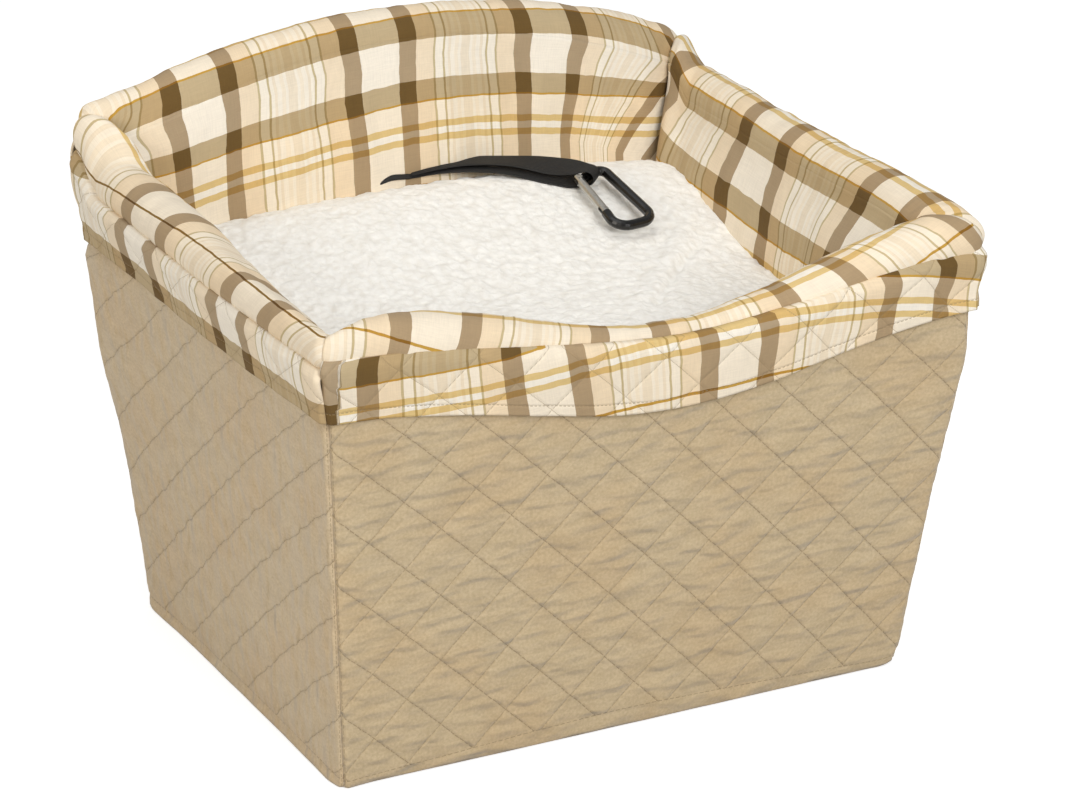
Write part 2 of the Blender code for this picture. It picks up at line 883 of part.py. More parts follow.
def make_carabiner_body(finish, parent):
    """Bent bar with a flat tang at the gate's pivot and a notched tongue at its nose."""
    pivot = pivot_point()
    latch = latch_point()
    gate_end = pivot.y + gate_length
    nose = Vector((pivot.x, gate_end - tongue_reach, 0))
    corners = (
        pivot,
        from_bar(0, 0),
        from_bar(carabiner_foot_across, carabiner_foot_along),
        from_bar(carabiner_toe_across, carabiner_toe_along),
        nose,
    )
    bends = (carabiner_top_bend, carabiner_heel_bend, carabiner_toe_bend)
    bm = bmesh.new()
    flat_tube(bm, rounded_path(corners, bends, bend_steps), carabiner_bar_radius, carabiner_sides)
    body = add_object("carabiner_body", bm, finish, parent=parent)
    half_tang = tang_thickness / 2
    far = carabiner_bar_radius + cutter_overrun
    up = Vector((0, 0, 1))
    for way, word in ((1, "upper"), (-1, "lower")):
        def tang_slab(bm, way=way):
            cylinder(bm, pivot + up * way * half_tang, pivot + up * way * far, tang_reach, tang_sides)

        def tongue_slab(bm, way=way):
            low = (nose.x - far, nose.y - far, min(way * half_tang, way * far))
            high = (nose.x + far, gate_end + clearance, max(way * half_tang, way * far))
            box(bm, low, high)

        cut(body, word + "_tang_slab", tang_slab, parent)
        cut(body, word + "_tongue_slab", tongue_slab, parent)

    def rivet_hole(bm):
        cylinder(bm, pivot - up * far, pivot + up * far, rivet_radius + clearance, gate_sides)

    def notch(bm):
        half = latch_pin_radius + clearance
        cylinder(bm, latch - up * far, latch + up * far, half, gate_sides)

    def notch_mouth(bm):
        half = latch_pin_radius + clearance
        box(bm, (latch.x - far, latch.y - half, -far), (latch.x, latch.y + half, far))

    def tongue_side(bm):
        edge = latch.x + tongue_width / 2
        box(bm, (edge, nose.y - far, -far), (edge + far, gate_end + clearance, far))

    cut(body, "rivet_hole", rivet_hole, parent)
    cut(body, "latch_notch", notch, parent)
    cut(body, "latch_notch_mouth", notch_mouth, parent)
    cut(body, "tongue_side", tongue_side, parent)


def make_gate(finishes, parent):
    """Hinged gate with its rivet, latch pin, spring and plunger."""
    pivot = Vector((0, 0, 0))
    end = Vector((0, gate_length, 0))
    up = Vector((0, 0, 1))
    bm = bmesh.new()
    cylinder(bm, pivot - Vector((0, gate_overhang, 0)), end, gate_radius, gate_sides)
    gate = add_object("carabiner_gate", bm, finishes["steel"], parent=parent)
    half_slot = tang_thickness / 2 + clearance
    far = gate_radius + cutter_overrun
    tang_clear = carabiner_bar_radius + 2 * clearance
    bore_end = tang_clear + gate_bore_length
    slot_start = gate_length - gate_end_slot_depth

    def fork_slot(bm):
        box(bm, (-far, -gate_overhang - cutter_overrun, -half_slot), (far, tang_clear, half_slot))

    def end_slot(bm):
        box(bm, (-far, slot_start, -half_slot), (far, gate_length + cutter_overrun, half_slot))

    def bore(bm):
        cylinder(bm, (0, tang_clear - clearance, 0), (0, bore_end, 0), gate_bore_radius, gate_sides)

    def rivet_hole(bm):
        cylinder(bm, pivot - up * far, pivot + up * far, rivet_radius + clearance, gate_sides)

    def pin_hole(bm):
        middle = Vector((0, gate_length - latch_pin_setback, 0))
        cylinder(bm, middle - up * far, middle + up * far, latch_pin_radius + clearance, gate_sides)

    for name, build in (
        ("gate_fork_slot", fork_slot), ("gate_end_slot", end_slot), ("gate_bore", bore),
        ("gate_rivet_hole", rivet_hole), ("gate_pin_hole", pin_hole),
    ):
        cut(gate, name, build, parent)

    reach = gate_radius + clearance
    rivet_steps = (
        (rivet_head_radius, -reach - rivet_head_height), (rivet_head_radius, -reach),
        (rivet_radius, -reach), (rivet_radius, reach),
        (rivet_head_radius, reach), (rivet_head_radius, reach + rivet_head_height),
    )
    rings = []
    for radius, z in rivet_steps:
        turns = [2 * math.pi * k / gate_sides for k in range(gate_sides)]
        rings.append([(radius * math.cos(a), radius * math.sin(a), z) for a in turns])
    bm = bmesh.new()
    sweep_rings(bm, rings)
    add_object("gate_rivet", bm, finishes["steel"], parent=parent)

    middle = Vector((0, gate_length - latch_pin_setback, 0))
    half_pin = gate_radius - clearance
    bm = bmesh.new()
    cylinder(bm, middle - up * half_pin, middle + up * half_pin, latch_pin_radius, gate_sides)
    add_object("gate_latch_pin", bm, finishes["steel"], parent=parent)

    plunger_start = tang_clear - clearance
    plunger_end = plunger_start + plunger_length
    bm = bmesh.new()
    plunger_radius = gate_bore_radius - clearance
    cylinder(bm, (0, plunger_start, 0), (0, plunger_end, 0), plunger_radius, gate_sides)
    add_object("gate_plunger", bm, finishes["steel"], parent=parent)

    spring_start = plunger_end + clearance + spring_wire_radius
    spring_length = bore_end - clearance - spring_wire_radius - spring_start
    count = spring_turns * spring_steps_per_turn
    curve = bpy.data.curves.new("gate_spring", "CURVE")
    curve.dimensions = "3D"
    curve.bevel_depth = spring_wire_radius
    curve.bevel_resolution = 1
    curve.use_fill_caps = True
    line = curve.splines.new("POLY")
    line.points.add(count)
    for i, point in enumerate(line.points):
        angle = 2 * math.pi * i / spring_steps_per_turn
        x = spring_coil_radius * math.cos(angle)
        z = spring_coil_radius * math.sin(angle)
        point.co = (x, spring_start + spring_length * i / count, z, 1)
    curve.materials.append(finishes["steel"])
    spring = bpy.data.objects.new("gate_spring", curve)
    bpy.context.collection.objects.link(spring)
    spring.parent = parent


def add_empty(name, place, parent=None):
    """Add a pivot that moving pieces hang from."""
    pivot = bpy.data.objects.new(name, None)
    bpy.context.collection.objects.link(pivot)
    pivot.location = place
    pivot.parent = parent
    return pivot


def make_finishes():
    """Return the seat's materials by name."""
    return {
        "suede": material("tan_quilted_suede", (0.50, 0.39, 0.24), 0.9),
        "plaid": material("plaid_cotton", (0.82, 0.74, 0.58), 0.85),
        "lining": material("cushion_lining", (0.55, 0.47, 0.36), 0.9),
        "fleece": material("white_fleece", (0.88, 0.87, 0.83), 0.95),
        "foam": material("upholstery_foam", (0.85, 0.82, 0.70), 0.9),
        "board": material("stiffener_board", (0.25, 0.25, 0.25), 0.6),
        "webbing": material("black_webbing", (0.02, 0.02, 0.02), 0.8),
        "black_metal": material("black_anodised_bar", (0.02, 0.02, 0.02), 0.3, 1.0),
        "steel": material("bright_steel", (0.70, 0.70, 0.68), 0.3, 1.0),
    }


def main():
    """Build the whole seat."""
    clear_scene()
    finishes = make_finishes()
    make_base(finishes)
    for side in SIDES:
        make_cover_panel(side, finishes["suede"])
        make_stiffener_board(side, finishes["board"])
        make_liner_wall(side, finishes["plaid"])
        make_rim(side, finishes)
        make_cuff(side, finishes["plaid"])
    make_deck(finishes)
    make_cushion(finishes)
    for name, way in (("left", -1), ("right", 1)):
        make_belt_loop(name + "_belt_loop", way * belt_loop_spacing / 2, finishes["webbing"])
    make_tether_root(finishes["webbing"])
    tether_pivot = add_empty("tether_pivot", on_cushion(tether_route[0]))
    make_tether(finishes["webbing"], tether_pivot)
    place, gate, nose, up = carabiner_frame()
    swing = add_empty("carabiner_swing", place)
    swing.rotation_euler = Matrix((gate, nose, up)).transposed().to_euler()
    make_carabiner_body(finishes["black_metal"], swing)
    hinge = add_empty("gate_hinge", pivot_point(), swing)
    make_gate(finishes, hinge)


main()
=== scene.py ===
"""Looks of a dog booster seat: quilted suede walls, a plaid cotton rim and lining, a fleece cushion.

Metres, +Z up; the front faces -Y and +X is to the right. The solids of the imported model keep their
places, and each soft one is stood for by a fuller piece that is made here.
"""

import json
import logging
import math
from collections.abc import Sequence
from dataclasses import dataclass
from enum import Enum

import bmesh
import bpy
import numpy as np
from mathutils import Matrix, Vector, noise

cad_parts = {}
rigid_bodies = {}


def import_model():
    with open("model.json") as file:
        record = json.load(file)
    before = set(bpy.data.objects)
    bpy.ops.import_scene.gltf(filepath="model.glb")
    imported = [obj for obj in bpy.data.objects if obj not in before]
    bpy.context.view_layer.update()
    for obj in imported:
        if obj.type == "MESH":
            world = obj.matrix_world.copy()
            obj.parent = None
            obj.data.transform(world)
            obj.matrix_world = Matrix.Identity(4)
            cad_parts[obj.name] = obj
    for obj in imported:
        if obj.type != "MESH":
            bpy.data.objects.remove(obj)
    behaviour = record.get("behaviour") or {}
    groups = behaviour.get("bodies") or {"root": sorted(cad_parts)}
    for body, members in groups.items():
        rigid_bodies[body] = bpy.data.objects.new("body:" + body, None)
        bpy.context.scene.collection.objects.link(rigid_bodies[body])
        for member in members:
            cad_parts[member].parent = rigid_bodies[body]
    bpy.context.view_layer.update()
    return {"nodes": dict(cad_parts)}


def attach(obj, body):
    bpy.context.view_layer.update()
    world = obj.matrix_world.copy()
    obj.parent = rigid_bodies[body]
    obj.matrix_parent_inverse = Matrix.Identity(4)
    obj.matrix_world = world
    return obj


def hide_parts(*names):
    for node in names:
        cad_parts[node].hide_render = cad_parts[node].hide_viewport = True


LOG = logging.getLogger("booster_seat")
Array = np.ndarray
Colour = tuple[float, float, float]
Knots = tuple[tuple[float, float], ...]
Stripes = tuple[tuple[float, Colour], ...]
Material = bpy.types.Material
Item = bpy.types.Object
MM = 0.001
DIAMOND = 0.0535
LINE_GAP = DIAMOND / math.sqrt(2)


# Sums that several pieces share
def srgb(red: float, green: float, blue: float) -> Colour:
    """Return the linear colour of display values between 0 and 255."""
    return tuple(((value / 255 + 0.055) / 1.055) ** 2.4 for value in (red, green, blue))


def tint(colour: Colour, base: Colour) -> Colour:
    """Return the colour that turns a base into another when the two are multiplied."""
    return tuple(min(part / whole, 1.0) for part, whole in zip(colour, base))


def smooth(value: Array) -> Array:
    """Ease from 0 to 1 as the value goes from 0 to 1."""
    held = np.clip(value, 0.0, 1.0)
    return held * held * (3.0 - 2.0 * held)


def mix(start: Array, end: Array, share: Array) -> Array:
    """Return the value at a share of the way from start to end."""
    return start + (end - start) * share


def follow(knots: Knots, at: Array) -> Array:
    """Read a smooth curve through knots, and straight on past both ends.

    Args:
        knots: Pairs of place and value, in rising order of place.
        at: Places to read the curve at.

    Returns:
        The curve's value at each place.
    """
    x, y = np.array(knots, float).T
    slope = np.gradient(y, x)
    held = np.clip(at, x[0], x[-1])
    i = np.clip(np.searchsorted(x, held) - 1, 0, len(x) - 2)
    span = x[i + 1] - x[i]
    t = (held - x[i]) / span
    curve = (2 * t**3 - 3 * t**2 + 1) * y[i] + (3 * t**2 - 2 * t**3) * y[i + 1]
    curve += (t**3 - 2 * t**2 + t) * slope[i] * span + (t**3 - t**2) * slope[i + 1] * span
    return curve + np.where(at < x[0], slope[0], slope[-1]) * (at - held)


def ripple(places: Array, stretch: Sequence[float], seed: float) -> Array:
    """Return smooth noise between about -1 and 1 at each place.

    Args:
        places: One row of numbers for each place.
        stretch: How many waves a metre there are along each of the numbers.
        seed: Where the noise is read, so that no two pieces match.
    """
    shift = Vector((seed, 1.7 * seed, -0.6 * seed))
    return np.array([noise.noise(Vector(place) + shift) for place in places * np.array(stretch)])


class Side(Enum):
    """The four sides of the seat."""

    FRONT = "front"
    REAR = "rear"
    LEFT = "left"
    RIGHT = "right"

    @property
    def crosswise(self) -> bool:
        """True where the wall runs from left to right."""
        return self in (Side.FRONT, Side.REAR)

    @property
    def axis(self) -> int:
        """Which coordinate runs along the wall: 0 for x and 1 for y."""
        return 0 if self.crosswise else 1

    @property
    def turned(self) -> bool:
        """True where a grid that runs along the wall and up faces into the seat."""
        return self in (Side.REAR, Side.LEFT)


# Shader maths
class Signal:
    """A shader socket that takes part in Python sums."""

    def __init__(self, finish: "Finish", socket: bpy.types.NodeSocket) -> None:
        """Keep the finish that the socket belongs to."""
        self.finish = finish
        self.socket = socket

    def sum(self, operation: str, *parts: "Signal | float") -> "Signal":
        """Add a Math node that works on the parts, in order."""
        return self.finish.node("ShaderNodeMath", {"operation": operation}, dict(enumerate(parts)))

    def __add__(self, other: "Signal | float") -> "Signal":
        """Add."""
        return self.sum("ADD", self, other)

    def __radd__(self, other: float) -> "Signal":
        """Add to a number."""
        return self.sum("ADD", other, self)

    def __sub__(self, other: "Signal | float") -> "Signal":
        """Take away."""
        return self.sum("SUBTRACT", self, other)

    def __rsub__(self, other: float) -> "Signal":
        """Take away from a number."""
        return self.sum("SUBTRACT", other, self)

    def __mul__(self, other: "Signal | float") -> "Signal":
        """Multiply."""
        return self.sum("MULTIPLY", self, other)

    def __rmul__(self, other: float) -> "Signal":
        """Multiply a number."""
        return self.sum("MULTIPLY", other, self)

    def below(self, limit: "Signal | float") -> "Signal":
        """Give 1 where the value is below the limit, and 0 elsewhere."""
        return self.sum("LESS_THAN", self, limit)

    def above(self, limit: "Signal | float") -> "Signal":
        """Give 1 where the value is above the limit, and 0 elsewhere."""
        return self.sum("GREATER_THAN", self, limit)

    def least(self, other: "Signal | float") -> "Signal":
        """Give the smaller of two values."""
        return self.sum("MINIMUM", self, other)

    def size(self) -> "Signal":
        """Drop the sign."""
        return self.sum("ABSOLUTE", self)

    def fold(self, period: float) -> "Signal":
        """Give the distance to the nearest whole multiple of a period."""
        return self.sum("PINGPONG", self, period / 2)

    def ease(self, low: float, high: float) -> "Signal":
        """Rise smoothly from 0 at low to 1 at high."""
        return self.finish.node(
            "ShaderNodeMapRange",
            {"interpolation_type": "SMOOTHSTEP"},
            {"Value": self, "From Min": low, "From Max": high},
        )


class Finish:
    """A material whose nodes are written as Python."""

    def __init__(self, name: str) -> None:
        """Start a Principled material."""
        self.material = bpy.data.materials.new(name)
        self.material.use_nodes = True
        self.tree = self.material.node_tree
        self.shader = self.tree.nodes["Principled BSDF"]

    def feed(self, socket: bpy.types.NodeSocket, value: "Signal | Colour | float") -> None:
        """Link a signal to a socket, or set the socket's own value."""
        if isinstance(value, Signal):
            self.tree.links.new(value.socket, socket)
        elif socket.type == "RGBA":
            socket.default_value = (*value, 1.0)
        else:
            socket.default_value = value

    def node(
        self,
        kind: str,
        settings: dict[str, object] | None = None,
        inputs: dict[str | int, object] | None = None,
        output: str | int = 0,
    ) -> Signal:
        """Add a node.

        Args:
            kind: The node's type.
            settings: Its settings, set before its sockets; "stops" are those of a colour ramp.
            inputs: Values or signals for its sockets, by name or number.
            output: The socket to read.

        Returns:
            The signal of that output.
        """
        made = self.tree.nodes.new(kind)
        for key, value in (settings or {}).items():
            if key == "stops":
                self.set_stops(made.color_ramp, value)
            else:
                setattr(made, key, value)
        for key, value in (inputs or {}).items():
            self.feed(made.inputs[key], value)
        return Signal(self, made.outputs[output])

    @staticmethod
    def set_stops(ramp: bpy.types.ColorRamp, stops: Sequence[tuple[float, Colour]]) -> None:
        """Give a colour ramp its stops, each of which holds its colour up to the next."""
        ramp.interpolation = "CONSTANT"
        while len(ramp.elements) < len(stops):
            ramp.elements.new(1.0)
        for element, (place, colour) in zip(ramp.elements, stops):
            element.position = place
            element.color = (*colour, 1.0)

    def blend(
        self, share: Signal | float, low: Signal | Colour, high: Signal | Colour, way: str = "MIX"
    ) -> Signal:
        """Mix two colours by a share."""
        settings = {"data_type": "RGBA", "blend_type": way}
        return self.node("ShaderNodeMix", settings, {0: share, 6: low, 7: high}, output=2)

    def measures(self, layer: str) -> tuple[Signal, Signal]:
        """Read the two measures of a UV map, in metres."""
        read = self.node("ShaderNodeUVMap", {"uv_map": layer})
        parts = self.tree.nodes.new("ShaderNodeSeparateXYZ")
        self.feed(parts.inputs[0], read)
        return Signal(self, parts.outputs[0]), Signal(self, parts.outputs[1])

    def place(self, x: Signal | float, y: Signal | float, z: Signal | float = 0.0) -> Signal:
        """Join three measures into a place."""
        return self.node("ShaderNodeCombineXYZ", None, {0: x, 1: y, 2: z})

    def body_place(self) -> Signal:
        """Place on the piece, in metres."""
        return self.node("ShaderNodeTexCoord", output="Object")

    def grain(self, where: Signal, waves: float, detail: float = 2.0, rough: float = 0.5) -> Signal:
        """Read noise between 0 and 1 with so many waves a metre."""
        inputs = {"Vector": where, "Scale": waves, "Detail": detail, "Roughness": rough}
        return self.node("ShaderNodeTexNoise", None, inputs)

    def tufts(self, where: Signal, cells: float) -> Signal:
        """Rise to 1 in the middle of each of so many bent cells a metre, and fall to 0 between them."""
        waves = {"Vector": where, "Scale": cells * 0.6, "Detail": 2.0}
        bend = self.node("ShaderNodeTexNoise", None, waves, "Color")
        push = {0: bend, 1: (1.2 / cells,) * 3, 2: where}
        bent = self.node("ShaderNodeVectorMath", {"operation": "MULTIPLY_ADD"}, push)
        inputs = {"Vector": bent, "Scale": cells, "Smoothness": 0.25}
        return 1.0 - self.node("ShaderNodeTexVoronoi", {"feature": "SMOOTH_F1"}, inputs)

    def relief(self, height: Signal, depth: float) -> None:
        """Raise the surface by a height between 0 and 1, of a depth in metres."""
        bump = self.node("ShaderNodeBump", None, {"Height": height, "Distance": depth, "Strength": 1.0})
        self.feed(self.shader.inputs["Normal"], bump)

    def dress(self, **values: "Signal | Colour | float") -> bpy.types.Material:
        """Feed the shader's sockets, named with underscores, and return the material."""
        for key, value in values.items():
            self.feed(self.shader.inputs[key.replace("_", " ").title().replace("Ior", "IOR")], value)
        return self.material


@dataclass(frozen=True)
class Plaid:
    """Plaid cotton: bands of its upright and level yarns, mirrored about a first line, in millimetres."""

    ivory: Colour = srgb(245, 237, 222)
    cream: Colour = srgb(244, 231, 209)
    pale_cream: Colour = srgb(243, 232, 212)
    peach: Colour = srgb(239, 222, 195)
    taupe: Colour = srgb(173, 152, 122)
    khaki: Colour = srgb(190, 170, 134)
    dark: Colour = srgb(106, 81, 40)
    gold: Colour = srgb(194, 152, 64)
    line: Colour = srgb(194, 152, 64)
    line_half: float = 0.85
    pale_gold: Colour = srgb(222, 193, 132)
    olive: Colour = srgb(200, 184, 146)
    faint: Colour = srgb(238, 226, 205)
    thread: Colour = srgb(150, 128, 94)
    upright_period: float = 157.0
    level_period: float = 209.5
    taupe_band: tuple[float, float] = (25.0, 7.75)
    khaki_band: tuple[float, float] = (76.8, 9.45)
    yarn_pitch: float = 0.9
    waver: float = 1.6 * MM
    relief: float = 1.2 * MM
    quilted: bool = False
    thread_half: float = 0.36 * MM
    dash: float = 4.2 * MM
    groove: float = 2.2 * MM
    stitch_height: float = 8.5 * MM
    stitch_half: float = 0.42 * MM
    stitch_dash: float = 3.0 * MM
    stitch_groove: float = 1.6 * MM
    dash_gap: float = 0.6 * MM

    def upright(self) -> Stripes:
        """Bands of the upright yarns, from the middle of a taupe pair outwards."""
        return (
            (0.0, self.ivory),
            (17.25, self.taupe),
            (32.75, self.peach),
            (48.75, self.olive),
            (50.55, self.ivory),
            (57.55, self.olive),
            (59.35, self.ivory),
            (62.5, self.faint),
            (65.0, self.ivory),
            (68.5, self.pale_cream),
            (72.0, self.ivory),
            (74.5, self.faint),
        )

    def level(self) -> Stripes:
        """Bands of the level yarns, from the middle gold line outwards."""
        return (
            (0.0, self.line),
            (self.line_half, self.cream),
            (33.75, self.pale_gold),
            (39.25, self.ivory),
            (44.25, self.pale_gold),
            (49.75, self.cream),
            (65.65, self.gold),
            (67.35, self.khaki),
            (86.25, self.ivory),
        )

    def yarns(self, made: Finish, stripes: Stripes, period: float, far: Signal) -> Signal:
        """Read stripes at a distance from their middle, as tints of the ivory ground."""
        stops = [(start * 2 / period, tint(colour, self.ivory)) for start, colour in stripes]
        return made.node("ShaderNodeValToRGB", {"stops": stops}, {0: far * (2 / (period * MM))})

    def make(self, name: str) -> Material:
        """Weave the cloth along the piece's own measures."""
        made = Finish(name)
        across, up = made.measures("weave")
        where = made.place(across, up)
        waver = (made.grain(where, 90.0, 1.0) - 0.5) * self.waver
        from_pair = (across + waver).fold(self.upright_period * MM)
        from_line = (up + waver).fold(self.level_period * MM)
        warp = self.yarns(made, self.upright(), self.upright_period, from_pair)
        weft = self.yarns(made, self.level(), self.level_period, from_line)
        cloth = made.blend(1.0, self.ivory, warp, "MULTIPLY")
        cloth = made.blend(1.0, cloth, weft, "MULTIPLY")
        in_taupe, in_khaki = (
            (far - middle * MM).size().below(half * MM)
            for far, (middle, half) in ((from_pair, self.taupe_band), (from_line, self.khaki_band))
        )
        cloth = made.blend(in_taupe * in_khaki, cloth, self.dark)
        slub_u = made.grain(made.place(across * 16.0, up), 60.0, 2.0)
        slub_v = made.grain(made.place(across, up * 16.0), 60.0, 2.0)
        shade = (slub_u + slub_v) * 0.16 + made.grain(where, 14.0, 3.0) * 0.12 + 0.745
        grey = made.node("ShaderNodeCombineColor", None, dict.fromkeys(range(3), shade))
        cloth = made.blend(1.0, cloth, grey, "MULTIPLY")
        pitch = self.yarn_pitch * MM
        weave = across.fold(pitch) * (1 / pitch) + up.fold(pitch) * (1 / pitch)
        crush = made.grain(where, 55.0, 3.0, 0.6)
        height = weave * 0.12 + crush * 0.9
        if self.quilted:
            cloth, height = self.sew(made, cloth, height)
        made.relief(height, self.relief)
        return made.dress(base_color=cloth, roughness=0.9, sheen_weight=0.03, specular_ior_level=0.3)

    def sew(self, made: Finish, cloth: Signal, height: Signal) -> tuple[Signal, Signal]:
        """Sew the quilting's diamonds and the hem's stitches through the cloth."""
        across, up = made.measures("quilt")
        hem, _ = made.measures("trim")
        first, second = (across + up) * math.sqrt(0.5), (across - up) * math.sqrt(0.5)
        far = first.fold(LINE_GAP).least(second.fold(LINE_GAP))
        dash = (first + second * 3.0).fold(self.dash).above(self.dash_gap)
        line = far.below(self.thread_half) * dash * 0.5
        from_stitch = (hem - self.stitch_height).size()
        stitch_dash = across.fold(self.stitch_dash).above(self.dash_gap)
        stitch = from_stitch.below(self.stitch_half) * stitch_dash * 0.55
        height = height + far.ease(0.0, self.groove) * 0.35
        height = height + from_stitch.ease(0.0, self.stitch_groove) * 0.4
        return made.blend((line + stitch).least(1.0), cloth, self.thread), height


@dataclass(frozen=True)
class Suede:
    """Brushed suede cloth, sewn through its padding in diamonds."""

    pale: Colour = srgb(209, 190, 158)
    dark: Colour = srgb(184, 164, 131)
    warm: Colour = srgb(255, 251, 246)
    # Colour of the stitches, and of the painted shade in the quilting's grooves
    thread: Colour = srgb(128, 108, 78)
    thread_width: float = 0.0006
    stitch: float = 0.0052
    second_line: float = 1.0
    wander: float = 1.4 * MM
    streaks: tuple[float, float] = (1.5, 4.2)
    dash_share: float = 0.40
    hem_share: float = 0.34
    corner_seam: float = 2.2 * MM
    groove: float = 2.2 * MM
    pull: float = 7.0 * MM
    relief: float = 1.5 * MM

    def make(self, name: str) -> Material:
        """Brush the nap and sew the diamonds, the hem and the corner seams."""
        made = Finish(name)
        across, up = made.measures("weave")
        hem, seam = made.measures("trim")
        where = made.place(across, up)
        nap = made.grain(made.place(across, up * 1.8), 38.0, 5.0, 0.68)
        fleck = made.grain(where, 420.0, 2.0, 0.6)
        tone = (nap * 0.65 + fleck * 0.8 - 0.22).ease(0.18, 0.86)
        cloth = made.blend(tone, self.dark, self.pale)
        warmed = made.blend(1.0, cloth, self.warm, "MULTIPLY")
        cloth = made.blend(made.grain(where, 11.0, 3.0).ease(0.42, 0.62), cloth, warmed)
        wander = (made.grain(where, 60.0, 1.0) - 0.5) * self.wander
        first = (across + up) * math.sqrt(0.5) + wander
        second = (across - up) * math.sqrt(0.5) + wander
        on_wall = hem.above(0.0)
        first_far, second_far = first.fold(LINE_GAP), second.fold(LINE_GAP)
        half = self.thread_width / 2
        dash, hem_dash = self.stitch * self.dash_share, self.stitch * self.hem_share
        dash_first = second.fold(self.stitch).below(dash)
        dash_second = first.fold(self.stitch).below(dash)
        lines = first_far.below(half) * dash_first + second_far.below(half) * dash_second * self.second_line
        border = hem.size().below(half) * across.fold(self.stitch).below(hem_dash)
        corner = (seam - self.corner_seam).size().below(half) * up.fold(self.stitch).below(hem_dash)
        thread = (lines * on_wall + border + corner) * 0.62
        cloth = made.blend(thread.ease(0.0, 1.0), cloth, self.thread)
        first_groove = first_far.ease(0.0, self.groove)
        second_groove = (1 - self.second_line) + second_far.ease(0.0, self.groove) * self.second_line
        groove = first_groove * second_groove * on_wall + (1 - on_wall)
        # Painted shade: the cloth darkens towards the thread colour in the quilting's grooves
        cloth = made.blend(groove.ease(-3.2, 1.0), self.thread, cloth)
        wide, tall = self.streaks
        pucker = made.grain(made.place(across * wide, up * tall), 21.0, 1.0, 0.4).ease(0.34, 0.76)
        pulls = (1 - first_far.ease(0.0, self.pull)) * made.grain(made.place(across, up), 210.0, 1.0)
        pulls = pulls + (1 - second_far.ease(0.0, self.pull)) * made.grain(made.place(up, across), 210.0, 1.0)
        height = groove * 0.34 + pucker * 1.7 + pulls * 0.18 + nap * 0.30 + fleck * 0.08
        made.relief(height, self.relief)
        return made.dress(base_color=cloth, roughness=0.93, sheen_weight=0.25, sheen_roughness=0.55)


@dataclass(frozen=True)
class Fleece:
    """White pile of short tufts."""

    white: Colour = srgb(252, 250, 244)
    # Colour of the painted shade in the hollows between the tufts
    shade: Colour = srgb(236, 232, 223)
    relief: float = 1.9 * MM

    def make(self, name: str) -> Material:
        """Clump the pile into tufts."""
        made = Finish(name)
        where = made.body_place()
        clump = made.grain(where, 130.0, 4.0, 0.62)
        tuft = made.tufts(where, 170.0)
        fibre = made.grain(where, 1300.0, 2.0, 0.6)
        # Painted shade: lower clumps and the gaps between tufts take the shade colour
        cloth = made.blend((clump * 0.6 + tuft * 0.4).ease(0.2, 0.66), self.shade, self.white)
        made.relief(clump * 0.7 + tuft * 0.45 + fibre * 0.2, self.relief)
        return made.dress(base_color=cloth, roughness=0.97, sheen_weight=0.35, sheen_roughness=0.6)


@dataclass(frozen=True)
class Webbing:
    """Ribbed webbing with a fine cross weave."""

    colour: Colour
    # Colour of the painted highlight on the raised ribs
    edge: Colour
    rib: float = 0.0016

    def make(self, name: str) -> Material:
        """Lay the ribs along the strap's own measures: along it, then across it."""
        made = Finish(name)
        along, across = made.measures("weave")
        rib = across.fold(self.rib) * (2 / self.rib)
        pick = along.fold(self.rib * 0.7) * (2 / (self.rib * 0.7))
        fuzz = made.grain(made.place(along, across), 900.0, 2.0)
        # Painted highlight: the raised ribs, picks and fuzz turn towards the lighter colour
        cloth = made.blend(rib * 0.6 + pick * 0.2 + fuzz * 0.2, self.colour, self.edge)
        made.relief(rib * 0.7 + pick * 0.3 + fuzz * 0.25, 0.5 * MM)
        return made.dress(base_color=cloth, roughness=0.66)


@dataclass(frozen=True)
class Metal:
    """Painted or polished metal with fine scratches."""

    colour: Colour
    worn: Colour
    metallic: float
    roughness: float

    def make(self, name: str) -> Material:
        """Wear the surface unevenly."""
        made = Finish(name)
        where = made.body_place()
        wear = made.grain(where, 380.0, 4.0, 0.65)
        coat = made.blend(wear.ease(0.60, 0.74), self.colour, self.worn)
        made.relief(made.grain(where, 1500.0, 2.0), 0.05 * MM)
        rough = wear * 0.18 + (self.roughness - 0.09)
        return made.dress(base_color=coat, metallic=self.metallic, roughness=rough)


@dataclass(frozen=True)
class Board:
    """Pressed fibre board."""

    colour: Colour = srgb(176, 156, 126)
    fleck: Colour = srgb(128, 106, 78)
    relief: float = 0.3 * MM

    def make(self, name: str) -> Material:
        """Press the fibres flat."""
        made = Finish(name)
        where = made.body_place()
        fibre = made.grain(where, 260.0, 5.0, 0.7)
        fill = made.grain(where, 900.0, 2.0, 0.6)
        board = made.blend((fibre * 0.7 + fill * 0.3).ease(0.35, 0.62), self.fleck, self.colour)
        made.relief(fibre * 0.6 + fill * 0.4, self.relief)
        return made.dress(base_color=board, roughness=0.86)


@dataclass(frozen=True)
class Foam:
    """Open-celled upholstery foam."""

    colour: Colour = srgb(232, 222, 186)
    # Colour of the painted shade inside the pores
    pore: Colour = srgb(186, 170, 126)
    relief: float = 0.7 * MM

    def make(self, name: str) -> Material:
        """Open the cells."""
        made = Finish(name)
        where = made.body_place()
        cell = made.node("ShaderNodeTexVoronoi", {"feature": "F1"}, {"Vector": where, "Scale": 520.0})
        # Painted shade: the pits of the cells take the darker pore colour
        foam = made.blend(cell.ease(0.15, 0.75), self.pore, self.colour)
        made.relief(cell, self.relief)
        return made.dress(base_color=foam, roughness=0.95)


